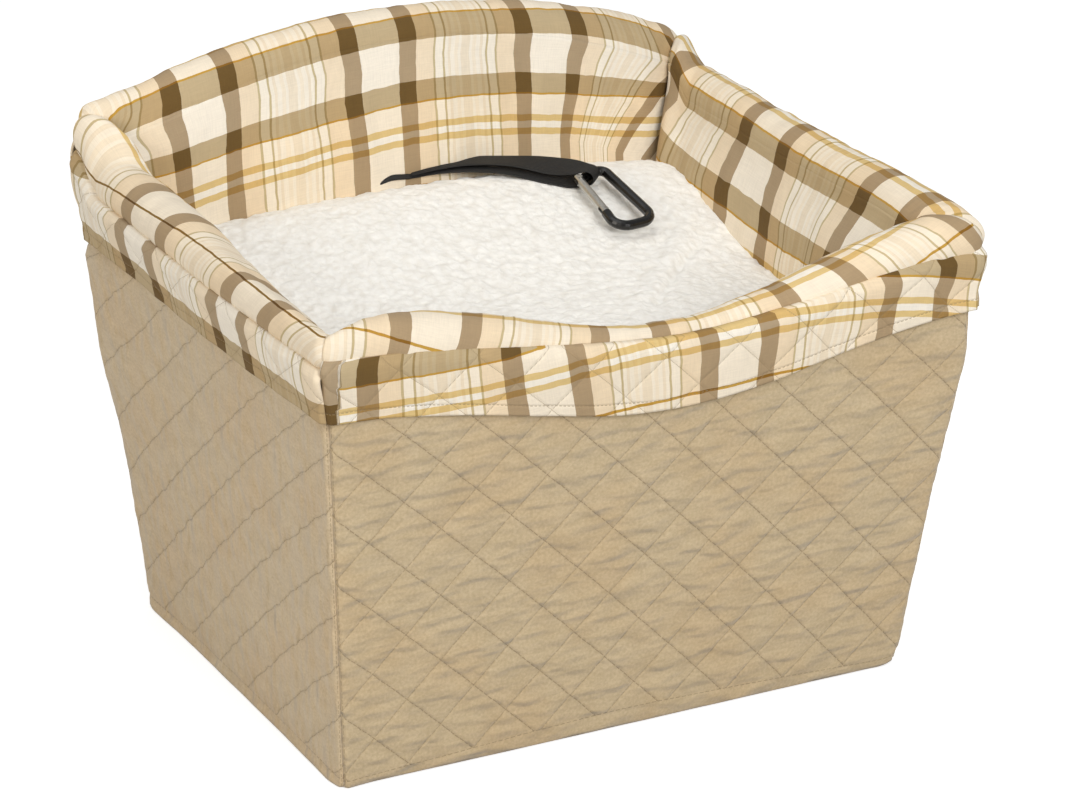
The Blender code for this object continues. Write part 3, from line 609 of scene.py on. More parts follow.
@dataclass(frozen=True)
class Lining:
    """Plain tightly woven lining cloth."""

    colour: Colour = srgb(226, 216, 196)
    shade: Colour = srgb(204, 192, 168)
    relief: float = 1.0 * MM

    def make(self, name: str) -> Material:
        """Weave it plain."""
        made = Finish(name)
        where = made.body_place()
        slub = made.grain(where, 240.0, 4.0, 0.6)
        crease = made.grain(where, 34.0, 3.0, 0.5)
        cloth = made.blend(slub.ease(0.3, 0.7), self.shade, self.colour)
        made.relief(slub * 0.3 + crease * 0.8, self.relief)
        return made.dress(base_color=cloth, roughness=0.9)


@dataclass(frozen=True)
class Finishes:
    """Every finish of the seat."""

    plaid: Material
    # Plaid whose gold line carries painted crease shade, for the left roll
    dark_lined_plaid: Material
    quilted_plaid: Material
    suede: Material
    side_suede: Material
    fleece: Material
    foam: Material
    lining: Material
    board: Material
    loop_webbing: Material
    tether_webbing: Material
    black_metal: Material
    steel: Material

    @classmethod
    def make(cls) -> "Finishes":
        """Make each material once."""
        return cls(
            plaid=Plaid().make("plaid_cotton"),
            # Darker, narrower gold line: painted shade of the crease along the left roll
            dark_lined_plaid=Plaid(line=srgb(140, 108, 48), line_half=0.6).make("plaid_cotton_painted_crease_shade"),
            quilted_plaid=Plaid(quilted=True).make("plaid_cotton_quilted"),
            suede=Suede(srgb(203, 183, 149), srgb(178, 158, 123), second_line=0.78).make("tan_suede"),
            side_suede=Suede(second_line=0.22, wander=6.0 * MM, streaks=(3.4, 1.2)).make("tan_suede_side"),
            fleece=Fleece().make("white_fleece"),
            foam=Foam().make("foam"),
            lining=Lining().make("cushion_lining"),
            board=Board().make("board"),
            loop_webbing=Webbing(srgb(150, 130, 98), srgb(182, 162, 126)).make("tan_webbing"),
            tether_webbing=Webbing(srgb(12, 12, 12), srgb(30, 29, 28)).make("black_webbing"),
            black_metal=Metal(srgb(12, 11, 10), srgb(17, 16, 15), 0.0, 0.24).make("black_metal"),
            steel=Metal(srgb(196, 194, 188), srgb(150, 148, 142), 1.0, 0.30).make("steel"),
        )


# Cloth meshes
class Skin:
    """A flat grid of cells that is shaped into one piece of cloth."""

    def __init__(self, columns: int, rows: int) -> None:
        """Lay out the grid: along and up run from 0 to 1, and u and v from -1 to 1."""
        self.bm = bmesh.new()
        self.layers = {name: self.bm.loops.layers.uv.new(name) for name in ("weave", "trim", "quilt")}
        bmesh.ops.create_grid(self.bm, x_segments=columns, y_segments=rows, size=0.5)
        self.bm.verts.ensure_lookup_table()
        grid = np.array([vert.co for vert in self.bm.verts]) + 0.5
        self.along, self.up = grid[:, 0], grid[:, 1]
        self.u, self.v = self.along * 2 - 1, self.up * 2 - 1

    def measure(self, layer: str, across: Array, up: Array) -> None:
        """Give the corners of the cells their two measures, in metres."""
        held = self.layers[layer]
        for face in self.bm.faces:
            for loop in face.loops:
                i = loop.vert.index
                loop[held].uv = (across[i], up[i])

    def shape(self, places: Array) -> None:
        """Move the grid's corners to their places."""
        for vert, place in zip(self.bm.verts, places):
            vert.co = place

    def flip(self) -> None:
        """Turn the cloth's face to the other side."""
        bmesh.ops.reverse_faces(self.bm, faces=self.bm.faces)

    def close(self, weld: float = 1e-6) -> None:
        """Weld edges that meet, fill the ends and point the faces outwards."""
        bmesh.ops.remove_doubles(self.bm, verts=self.bm.verts, dist=weld)
        bmesh.ops.holes_fill(self.bm, edges=[edge for edge in self.bm.edges if edge.is_boundary])
        bmesh.ops.recalc_face_normals(self.bm, faces=self.bm.faces)

    def fill_down(self, bottom: Array) -> None:
        """Add an underside with the same corners, and walls that join the two."""
        top = list(self.bm.verts)
        made = bmesh.ops.extrude_face_region(self.bm, geom=self.bm.faces[:], use_keep_orig=True)
        lower = [item for item in made["geom"] if isinstance(item, bmesh.types.BMVert)]
        index = {tuple(round(c, 7) for c in vert.co): i for i, vert in enumerate(top)}
        for vert in lower:
            vert.co = bottom[index[tuple(round(c, 7) for c in vert.co)]]
        bmesh.ops.recalc_face_normals(self.bm, faces=self.bm.faces)
        self.order()

    def order(self) -> None:
        """Put the faces in the order of their corners, which is then the same on every run."""
        self.bm.verts.index_update()
        count = len(self.bm.verts)
        places = {face: sorted(vert.index for vert in face.verts) for face in self.bm.faces}
        self.bm.faces.sort(key=lambda face: places[face][0] * count + places[face][-1])

    def piece(self, name: str, finish: Material, thickness: float = 0.0) -> Item:
        """Turn the cloth into an object.

        Args:
            name: The piece's name.
            finish: Its material.
            thickness: How far the cloth is thickened behind its face; 0 leaves a closed form as it is.

        Returns:
            The new object, at the origin.
        """
        mesh = bpy.data.meshes.new(name)
        self.bm.to_mesh(mesh)
        self.bm.free()
        mesh.materials.append(finish)
        mesh.shade_smooth()
        item = bpy.data.objects.new(name, mesh)
        bpy.context.collection.objects.link(item)
        if thickness:
            shell = item.modifiers.new("thickness", "SOLIDIFY")
            shell.thickness = thickness
            shell.offset = -1.0
        return item


def settle(item: Item, slot: str, *nodes: str, body: str = "seat") -> Item:
    """Join a piece to its body.

    Args:
        item: The piece.
        slot: The record's material slot, which is only logged.
        nodes: The solids that it stands for.
        body: The body that it moves with.

    Returns:
        The same piece.
    """
    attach(item, body)
    if nodes:
        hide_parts(*nodes)
    LOG.info("%s made, in %s", item.name, slot)
    return item


@dataclass(frozen=True)
class SeatForm:
    """The leaning box that every layer of the seat is set in from."""

    width: float = 0.464
    depth: float = 0.363
    side_lean: float = 0.075
    front_lean: float = 0.128
    rear_lean: float = 0.105
    rim_radius: float = 0.0205
    rim_inset: float = 0.014
    rim_height: float = 0.348
    front_dip: float = 0.042
    dip_shift: float = 0.06
    front_flattening: float = 0.2
    side_sag: float = 0.003
    corner_rise: float = 0.028
    arch_rise: float = 0.051
    arch_power: float = 0.9
    sweep_length: float = 0.045
    corner_round: float = 0.007
    deck: float = 0.205
    liner_back: float = 0.0076
    liner_top: float = 0.012
    liner_foot: float = 0.026
    left_pinch: float = 0.62
    right_pinch: float = 0.30
    pinch_length: float = 0.022
    right_rise: Knots = (
        (-1.0, 0.0), (-0.84, 0.0048), (-0.57, 0.0076), (-0.2, 0.0090), (0.1, 0.0098), (0.6, 0.0104),
        (0.87, 0.0082), (1.0, 0.0),
    )
    spread_length: float = 0.080
    flat_left: Knots = (
        (-0.24, 0.86), (-0.19, 0.82), (-0.125, 0.62), (-0.06, 0.40), (-0.035, 0.30), (0.03, 0.06),
        (0.08, 0.0),
    )
    flat_front: float = 0.86
    flat_corner: float = 0.013
    pinch_turn: tuple[float, float] = (110.0, 52.0)
    steep_corner: float = 0.05
    under_share: float = 0.85
    front_crease: tuple[float, float] = (-0.002, 0.014)
    side_crease: float = -0.0085

    def length(self, side: Side) -> float:
        """Length of a wall at its foot."""
        return self.width if side.crosswise else self.depth

    def half_across(self, z: Array, inset: Array) -> Array:
        """Half width at a height, in from the outer face."""
        return self.width / 2 + self.side_lean * z - inset

    def half_front(self, z: Array, inset: Array) -> Array:
        """Distance from the middle to the front wall at a height."""
        return self.depth / 2 + self.front_lean * z - inset

    def half_rear(self, z: Array, inset: Array) -> Array:
        """Distance from the middle to the rear wall at a height."""
        return self.depth / 2 + self.rear_lean * z - inset

    def place(self, side: Side, share: Array, z: Array, inset: Array, corner: Array | float = 0.0) -> Array:
        """Place points on a wall.

        Args:
            side: The wall.
            share: From one mitred corner (-1) to the other (1).
            z: Height.
            inset: Distance in from the wall's outer face.
            corner: Radius that the seat's upright edge is rounded to there.

        Returns:
            One row of x, y and z for each point.
        """
        if side.crosswise:
            low, high = -self.half_across(z, inset), self.half_across(z, inset)
        else:
            low, high = -self.half_front(z, inset), self.half_rear(z, inset)
        along = mix(low, high, (share + 1) / 2)
        radius = np.maximum(corner, 1e-9) * np.ones_like(along)
        far = np.minimum(along - low, high - along)
        turn = np.clip(1 - far / radius, 0, 1) * (math.pi / 4)
        near = np.where(far < radius, radius - radius * np.sin(turn), far)
        along = np.where(share < 0, low + near, high - near)
        inset = inset + radius * (1 - np.cos(turn))
        if side is Side.FRONT:
            return np.stack([along, -self.half_front(z, inset), z], 1)
        if side is Side.REAR:
            return np.stack([along, self.half_rear(z, inset), z], 1)
        way = -1 if side is Side.LEFT else 1
        return np.stack([way * self.half_across(z, inset), along, z], 1)

    def dip(self, share: Array) -> Array:
        """Shape of the front's dip: 1 near the middle and 0 at both corners."""
        shifted = share - self.dip_shift * (1 - share * share)
        return np.cos(math.pi * shifted / 2) ** 2

    def rim_z(self, side: Side, share: Array) -> Array:
        """Height of the rim roll's centre."""
        if side is Side.FRONT:
            return self.rim_height - self.front_dip * self.dip(share)
        if side is Side.REAR:
            arch = np.clip(1 - share * share, 0, 1) ** self.arch_power
            return self.rim_height + self.corner_rise + self.arch_rise * arch
        length = self.half_front(self.rim_height, 0.0) + self.half_rear(self.rim_height, 0.0)
        sweep = smooth(1 - (1 - share) / 2 * length / self.sweep_length)
        sag = self.side_sag * np.cos(math.pi * share / 2) ** 2
        lifted = follow(self.right_rise, share) if side is Side.RIGHT else 0.0
        return self.rim_height - sag + self.corner_rise * sweep + lifted

    def rim_r(self, side: Side, share: Array) -> Array:
        """Radius of the rim roll, which is flatter in the front's dip."""
        if side is Side.FRONT:
            return self.rim_radius * (1 - self.front_flattening * self.dip(share))
        return self.rim_radius * np.ones_like(share)

    def inner_r(self, side: Side, share: Array) -> Array:
        """Reach of the roll into the seat, which is drawn in where its cloth is pinched at a rear corner."""
        half = self.length(side) / 2
        if side is Side.FRONT:
            flat = self.flat_front * np.exp(-(1 + share) * half / self.flat_corner)
            return self.rim_r(side, share) * (1 - flat)
        fade = np.exp(-(1 - share) * half / self.pinch_length)
        pinch = self.right_pinch * fade
        if side is Side.REAR:
            pinch = pinch + self.left_pinch * np.exp(-(1 + share) * half / self.pinch_length)
        elif side is Side.LEFT:
            front = self.half_front(self.rim_height, self.rim_inset)
            reach = mix(-front, self.half_rear(self.rim_height, self.rim_inset), (share + 1) / 2)
            pinch = self.left_pinch * fade + follow(self.flat_left, reach)
        return self.rim_r(side, share) * (1 - pinch)

    def steepness(self, side: Side, share: Array) -> Array:
        """Degrees of the roll over which its pinch sets in: fewer where the left roll lies flat."""
        if side is Side.LEFT:
            return mix(*self.pinch_turn, smooth((0.45 - share) / 0.9))
        if side is Side.FRONT:
            return mix(*self.pinch_turn, np.exp(-(1 + share) * self.width / 2 / self.steep_corner))
        return self.pinch_turn[0] * np.ones_like(share)

    def under_rim(self, side: Side, share: Array) -> Array:
        """Height at which the outer face meets the underside of the rim roll."""
        radius = self.rim_r(side, share)
        inset = np.minimum(self.rim_inset, radius * self.under_share)
        return self.rim_z(side, share) - np.sqrt(radius**2 - inset**2)

    def crease_rise(self, side: Side, share: Array) -> Array:
        """Height of the crease between rim roll and cuff, from the roll's centre."""
        if side is Side.FRONT:
            low, rise = self.front_crease
            return low + rise * self.dip(share)
        return (0.0 if side is Side.REAR else self.side_crease) * np.ones_like(share)

    def liner_inset(self, z: Array) -> Array:
        """Inset of the liner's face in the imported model."""
        share = np.clip((self.rim_height - z) / (self.rim_height - self.deck), 0, 1)
        return self.liner_back + mix(self.liner_top, self.liner_foot, share)

    def near(self, side: Side, share: Array, length: float) -> tuple[Array, Array]:
        """Nearness to a wall's two corners: 1 at the corner, and fading over a length."""
        span = self.length(side) / 2
        return tuple(np.exp(-((far * span / length) ** 2)) for far in (1 + share, 1 - share))

    def spread(self, side: Side, share: Array, z: Array, spreads: dict[str, Knots]) -> Array:
        """How far the cloth stands out near the corners of a wall, read by height at each corner."""
        start, end = self.near(side, share, self.spread_length)
        first, last = CORNERS[side]
        return start * follow(spreads[first], z) + end * follow(spreads[last], z)


FORM = SeatForm()
CORNERS: dict[Side, tuple[str, str]] = {
    Side.FRONT: ("front_left", "front_right"),
    Side.REAR: ("rear_left", "rear_right"),
    Side.LEFT: ("front_left", "rear_left"),
    Side.RIGHT: ("front_right", "rear_right"),
}


def level_at(value: float) -> Knots:
    """Knots of a curve that keeps one value."""
    return ((0.0, value), (0.5, value))


NO_SPREAD = level_at(0.0)
REAR_WALL_SPREAD: Knots = (
    (0.0, 0.0030), (0.03, 0.0022), (0.09, 0.0030), (0.129, 0.0036), (0.168, 0.0061), (0.188, 0.0080),
    (0.227, 0.0092), (0.247, 0.0088), (0.270, 0.0088), (0.288, 0.0086), (0.300, 0.0036), (0.35, 0.0030),
)
REAR_CUFF_SPREAD: Knots = ((0.28, 0.0058), (0.306, 0.0045), (0.326, 0.0034), (0.35, 0.0020))
WALL_SPREADS: dict[str, Knots] = {
    "front_left": NO_SPREAD,
    "front_right": (
        (0.0, 0.0), (0.05, 0.0), (0.10, 0.0012), (0.142, 0.0018), (0.183, 0.0034), (0.225, 0.0050),
        (0.267, 0.0058), (0.287, 0.0038), (0.31, 0.0015), (0.35, 0.0),
    ),
    "rear_left": REAR_WALL_SPREAD,
    "rear_right": REAR_WALL_SPREAD,
}
CUFF_SPREADS: dict[str, Knots] = {
    "front_left": NO_SPREAD,
    "front_right": ((0.28, 0.0056), (0.2975, 0.0048), (0.31, 0.0017), (0.33, 0.0)),
    "rear_left": REAR_CUFF_SPREAD,
    "rear_right": REAR_CUFF_SPREAD,
}
FOOT_ROUNDING: dict[str, Knots] = {
    "front_left": NO_SPREAD,
    "front_right": level_at(1.0),
    "rear_left": level_at(0.5),
    "rear_right": level_at(1.0),
}


@dataclass(frozen=True)
class Quilting:
    """Diamonds that are sewn through the walls and the cuffs."""

    first_row: float = 0.011
    puff: float = 0.0013
    shoulder: float = 0.0085
    side_run: float = 0.3713
    side_rise: float = 1.2615
    side_shift: float = 0.0241

    def count(self, side: Side) -> int:
        """How many diamonds lie across a wall."""
        return round(FORM.length(side) / DIAMOND)

    def across(self, side: Side, share: Array) -> Array:
        """Measure along a wall in sewn diamonds."""
        run = self.count(side) * DIAMOND if side.crosswise else self.side_run
        return (share + 1) / 2 * run

    def up(self, side: Side, z: Array) -> Array:
        """Measure up a wall in sewn diamonds, which are closer together on the sides."""
        return z - self.first_row if side.crosswise else z * self.side_rise - self.side_shift

    def swell(self, across: Array, up: Array) -> Array:
        """How far the padding stands up between the lines, from 0 to 1."""
        made = np.ones_like(across)
        for line in ((across + up) / math.sqrt(2), (across - up) / math.sqrt(2)):
            far = np.abs((line / LINE_GAP + 0.5) % 1.0 - 0.5) * LINE_GAP
            made = made * (1 - np.exp(-far / self.shoulder * 2.0))
        return made


QUILTING = Quilting()


@dataclass(frozen=True)
class WallPiece:
    """Cloth that follows one wall from corner to corner."""

    side: Side

    def seed(self, first: float, step: float) -> float:
        """Where this side's noise is read."""
        return first + list(Side).index(self.side) * step

    def far(self, share: Array) -> Array:
        """Distance along the wall to its nearer corner."""
        return (1 - np.abs(share)) * FORM.length(self.side) / 2

    def reach(self, share: Array, z: Array, inset: Array | float = 0.0) -> Array:
        """Coordinate that runs along the wall."""
        return FORM.place(self.side, share, z, inset)[:, self.side.axis]

    def join(
        self, skin: Skin, part: str, ending: str, finish: Material, slot: str, thickness: float = 0.0
    ) -> Item:
        """Settle the cloth in place of this wall's solid.

        Args:
            skin: The shaped cloth.
            part: The solid's name, without its side.
            ending: What the piece's name adds to the solid's.
            finish: Its material.
            slot: The record's material slot, which is only logged.
            thickness: How far it is thickened behind its face.
        """
        name = f"{self.side.value}_{part}"
        return settle(skin.piece(name + ending, finish, thickness), slot, name)


@dataclass(frozen=True)
class QuiltedWall(WallPiece):
    """Quilted suede cover of one wall, down to its bottom hem."""

    cells: int = 12
    low: float = 0.0008
    grid_top: float = 0.2510
    head_rows: int = 14
    thickness: float = 0.0034
    front_hem: Knots = ((-0.22, 0.0065), (-0.15, 0.010), (0.0, 0.0155), (0.10, 0.0125), (0.22, 0.0070))
    side_hem: Knots = ((-0.2, 0.008), (0.0, 0.010), (0.2, 0.008))
    head: float = 0.006
    flat_swell: float = 0.35
    seam_width: float = 0.020
    pucker: float = 0.0008
    slack: float = 0.0010
    seam_depth: float = 0.0012
    hem_depth: float = 0.0006
    cuff_room: float = 0.0040
    foot_height: float = 0.020
    foot_rounding: float = 0.005
    foot_lift: float = 0.0035

    @property
    def foot_tuck(self) -> float:
        """How far the hem draws in at the floor."""
        return -0.0020 if self.side is Side.LEFT else 0.0016

    def build(self, finish: Material) -> Item:
        """Sew the wall on a grid, which keeps to the quilting's lines at the front and the rear."""
        cell = DIAMOND / 2 / self.cells
        foot_rows = round((QUILTING.first_row - self.low) / cell)
        body_rows = round((self.grid_top - QUILTING.first_row) / cell)
        rows = foot_rows + body_rows + self.head_rows
        skin = Skin(QUILTING.count(self.side) * 2 * self.cells, rows)
        share = skin.u
        row = skin.up * rows
        grid_top = QUILTING.first_row + body_rows * cell
        top = FORM.under_rim(self.side, share) + self.head
        z = np.where(
            row <= foot_rows,
            mix(self.low, QUILTING.first_row, row / foot_rows),
            np.where(
                row <= foot_rows + body_rows,
                QUILTING.first_row + (row - foot_rows) * cell,
                mix(grid_top, top, (row - foot_rows - body_rows) / self.head_rows),
            ),
        )
        across, up = QUILTING.across(self.side, share), QUILTING.up(self.side, z)
        reach = self.reach(share, z)
        hem = z - follow(self.front_hem if self.side is Side.FRONT else self.side_hem, reach)
        half = (reach.max() - reach.min()) / 2
        seam = half * (1 - np.abs(share))
        sewn = smooth(hem / 0.004)
        swell = QUILTING.swell(across, up) * sewn + (1 - sewn) * self.flat_swell
        swell = mix(self.flat_swell, swell, smooth(seam / self.seam_width))
        seed = self.seed(3.0, 5.0)
        measures = np.stack([across, up, np.zeros_like(z)], 1)
        pucker = ripple(measures, (34.0, 150.0, 1.0), seed) * np.clip(swell, 0, 1)
        slack = ripple(measures, (9.0, 11.0, 1.0), seed + 1) * smooth(seam / 0.03)
        inset = -QUILTING.puff * swell - self.pucker * pucker - self.slack * slack
        inset = inset + self.seam_depth * (1 - smooth(seam / 0.005))
        inset = inset + self.hem_depth * (1 - smooth(np.abs(hem) / 0.0025))
        inset = inset + self.foot_tuck * (1 - smooth((z - self.low) / 0.007)) * smooth(seam / 0.030)
        inset = inset - FORM.spread(self.side, share, z, WALL_SPREADS)
        inset = inset + self.cuff_room * smooth((z - Cuff(self.side).hem(share)) / 0.012)
        skin.measure("weave", across, up)
        skin.measure("trim", hem, seam)
        foot = 1 - smooth((z - self.low) / self.foot_height)
        rounding = foot * FORM.spread(self.side, share, z, FOOT_ROUNDING)
        corner = FORM.corner_round + self.foot_rounding * rounding
        places = FORM.place(self.side, share, z, inset, corner)
        places[:, 2] += self.foot_lift * rounding * (1 - smooth(seam / 0.022))
        skin.shape(places)
        if self.side.turned:
            skin.flip()
        made = self.join(skin, "cover_panel", "_quilted", finish, "tan_suede", self.thickness)
        return made


@dataclass(frozen=True)
class CuffWeave:
    """How the plaid lies on one cuff, in millimetres of cloth at a place in metres."""

    pairs: Knots
    level: float
    line: Knots | None = None
    drift: Knots = ((-0.2, 0.0), (0.2, 0.0))
    wrap: float = -1.0

    def measures(self, reach: Array, up: Array, hem: Array, down: Array) -> tuple[Array, Array]:
        """Return both measures of the cloth in metres.

        Args:
            reach: Coordinate along the wall.
            up: Height.
            hem: Height of the hem.
            down: 0 at the crease and 1 at the hem.
        """
        across = follow(self.pairs, reach - follow(self.drift, reach) * down * MM)
        base = hem if self.line is None else follow(self.line, reach)
        rise = self.level * MM + up - base
        lapped = reach < self.wrap - 0.003 * down
        across = np.where(lapped, 33.5 + (reach - self.wrap) * 1000 + 3.0 * down, across)
        return across * MM, np.where(lapped, 0.070 + up - hem, rise)


CUFF_WEAVES: dict[Side, CuffWeave] = {
    Side.FRONT: CuffWeave(
        pairs=((-0.246, -157.0), (-0.0947, 0.0), (0.0549, 157.0), (0.198, 314.0)),
        level=36.5,
        line=(
            (-0.24, 0.2950), (-0.20, 0.2948), (-0.15, 0.2945), (-0.10, 0.298), (-0.05, 0.3033), (0.0, 0.3065),
            (0.05, 0.3083), (0.10, 0.3112), (0.15, 0.3091), (0.20, 0.3026), (0.24, 0.2931),
        ),
        drift=(
            (-0.22, 0.0), (-0.12, 9.0), (-0.07, 12.6), (0.03, 7.0), (0.079, 4.0), (0.173, -0.4),
            (0.2235, -1.8),
        ),
        wrap=-0.241,
    ),
    Side.REAR: CuffWeave(pairs=((-0.179, -157.0), (-0.020, 0.0), (0.136, 157.0)), level=80.0),
    Side.LEFT: CuffWeave(
        pairs=(
            (-0.290, -157.0), (-0.245, -132.0), (-0.190, -103.0), (-0.128, -54.0), (-0.071, 0.0),
            (0.0955, 157.0), (0.2555, 314.0),
        ),
        level=70.0,
    ),
    Side.RIGHT: CuffWeave(
        pairs=((-0.2200, -157.0), (-0.060, 0.0), (0.1000, 157.0), (0.2600, 314.0)), level=70.0
    ),
}


@dataclass(frozen=True)
class Cuff(WallPiece):
    """Plaid cuff that hangs from the rim over one wall."""

    height: float = 0.051
    hem_dip: float = 0.035
    side_sag: float = 0.005
    standoff: float = 0.0042
    flare: float = 0.0024
    crown: float = 0.0098
    rows: int = 34
    columns: int = 216
    thickness: float = 0.0022
    tuck: float = 0.10
    tuck_depth: float = 0.006
    shoulder_depth: float = 0.0030
    wave: float = 0.0010
    puff: float = 0.0012
    gather: float = 0.0010
    drape: float = 0.0014
    corner_depth: float = 0.0016

    def hem(self, share: Array) -> Array:
        """Height of the lower edge."""
        level = FORM.rim_height - self.height
        if self.side is Side.FRONT:
            return level - self.hem_dip * FORM.dip(share)
        if self.side is Side.REAR:
            return level * np.ones_like(share)
        return level - self.side_sag * np.cos(math.pi * share / 2) ** 2

    def build(self, finish: Material) -> Item:
        """Hang the cuff, quilted with the wall behind it."""
        skin = Skin(self.columns, self.rows)
        share = skin.u
        hem = self.hem(share)
        crease = FORM.rim_z(self.side, share) + FORM.crease_rise(self.side, share)
        rise = np.minimum(skin.up / (1 - self.tuck), 1.0)
        inside = np.clip((skin.up - (1 - self.tuck)) / self.tuck, 0, 1)
        seed = self.seed(31.0, 7.0)
        wave = ripple(np.stack([share, skin.up, skin.up * 0], 1), (5.0, 0.4, 1.0), seed)
        z = mix(hem, crease, rise) + self.wave * wave * (1 - rise)
        flare = self.flare * FORM.dip(share) if self.side is Side.FRONT else 0.0
        inset = -mix(self.standoff + flare, self.crown, smooth(rise * 1.15))
        shoulder = smooth((rise - 0.80) / 0.20)
        inset = inset + self.shoulder_depth * shoulder**2 + self.tuck_depth * inside
        across, up = QUILTING.across(self.side, share), QUILTING.up(self.side, z)
        places = np.stack([share * 0.24, z, skin.up * 0], 1)
        gather = ripple(places, (120.0, 22.0, 1.0), seed + 1)
        drape = ripple(places, (26.0, 9.0, 1.0), seed + 2)
        fade = smooth((1 - rise) / 0.35) * smooth(rise / 0.15)
        inset = inset - self.puff * (QUILTING.swell(across, up) - 0.5) * fade
        inset = inset - self.gather * gather * smooth(rise / 0.6) - self.drape * drape
        far = self.far(share)
        inset = inset + self.corner_depth * (1 - smooth(far / 0.006))
        inset = inset - FORM.spread(self.side, share, z, CUFF_SPREADS)
        reach = self.reach(share, z)
        skin.measure("weave", *CUFF_WEAVES[self.side].measures(reach, z, hem, 1 - rise))
        skin.measure("trim", z - hem, far)
        skin.measure("quilt", across, up)
        skin.shape(FORM.place(self.side, share, z, inset, FORM.corner_round))
        if self.side.turned:
            skin.flip()
        made = self.join(skin, "cuff", "_cloth", finish, "plaid_cotton", self.thickness)
        return made


@dataclass(frozen=True)
class RollWeave:
    """How the plaid lies on one stretch of the rim roll.

    A known line of the cloth, level mm from its middle gold line, lies at the roll angle of line;
    way is 1 where the cloth's measure grows inwards over the roll. The bands of pairs lie at 45 degrees,
    and slip along the wall by so many mm for each 45 degrees down from there.
    """

    pairs: Knots
    line: Knots
    level: float = 0.0
    way: int = 1
    slip: Knots = ((-0.2, 0.0), (0.2, 0.0))
    held: float = 135.0

    def measures(self, reach: Array, angle: Array, radius: Array) -> tuple[Array, Array]:
        """Return both measures of the cloth, in metres, at an angle in degrees round the roll."""
        down = (45.0 - np.minimum(angle, self.held)) / 45.0
        across = follow(self.pairs, reach - follow(self.slip, reach) * MM * down)
        up = self.level * MM + self.way * np.radians(angle - follow(self.line, reach)) * radius
        return across * MM, up


EDGES = (-182.0, -132.0, -25.0, 25.0, 132.0, 182.0, 289.0, 339.0, 446.0)


def bands(*places: float, first: float = EDGES[0]) -> Knots:
    """Pair places along a wall with the edges of the cloth's upright bands, from a first edge on."""
    return tuple(zip(places, EDGES[EDGES.index(first):]))


ROLL_WEAVES: dict[Side, RollWeave] = {
    Side.FRONT: RollWeave(
        pairs=bands(-0.202, -0.149, -0.0476, 0.0012, 0.1017, 0.148, 0.243, first=-25.0),
        line=(
            (-0.26, 72.0), (-0.2383, 58.5), (-0.2045, 24.4), (-0.1752, 0.6), (-0.1529, -11.4), (-0.09, -30.0),
            (-0.05, -33.0), (0.0, -42.0), (0.05, -44.0), (0.10, -46.0), (0.15, -38.0), (0.1866, -16.2),
            (0.2133, 10.4), (0.2389, 36.5), (0.26, 55.0),
        ),
        slip=(
            (-0.2, -5.0), (-0.15, -7.0), (-0.05, -4.0), (0.0, -2.0), (0.10, 3.5), (0.15, 9.0), (0.24, 12.0),
        ),
    ),
    Side.REAR: RollWeave(
        pairs=bands(-0.1945, -0.1500, -0.0493, 0.0006, 0.1012, 0.1507, 0.2409),
        line=(
            (-0.25, 98.0), (-0.2095, 111.0), (-0.1534, 128.0), (-0.0538, 134.0), (-0.0022, 130.0),
            (0.0989, 123.0), (0.1505, 112.0), (0.25, 104.0),
        ),
        level=142.8,
        way=-1,
    ),
    Side.LEFT: RollWeave(
        pairs=((-0.155, -25.0), (-0.084, 25.0), (0.0443, 132.0), (0.1148, 182.0), (0.21, 260.0)),
        line=(
            (-0.22, 44.0), (-0.15, 44.0), (-0.07, 49.5), (0.0064, 50.1), (0.0538, 42.6), (0.1088, 32.4),
            (0.1515, 26.1), (0.19, 12.0), (0.22, -12.0),
        ),
        slip=((-0.155, 17.0), (-0.084, 12.5), (0.0443, 8.5), (0.1148, 5.2), (0.2, 4.0)),
    ),
    Side.RIGHT: RollWeave(
        pairs=bands(-0.189, -0.1325, -0.0046, 0.0607, 0.179),
        line=(
            (-0.22, 166.0), (-0.1701, 161.8), (-0.1137, 158.9), (-0.0357, 157.0), (0.0518, 147.9),
            (0.0981, 145.8), (0.1438, 143.0), (0.22, 136.0),
        ),
        level=142.8,
        way=-1,
        slip=((-0.2, -4.2), (-0.12, -4.2), (0.0, -0.6), (0.06, 2.3), (0.2, 2.3)),
        held=180.0,
    ),
}


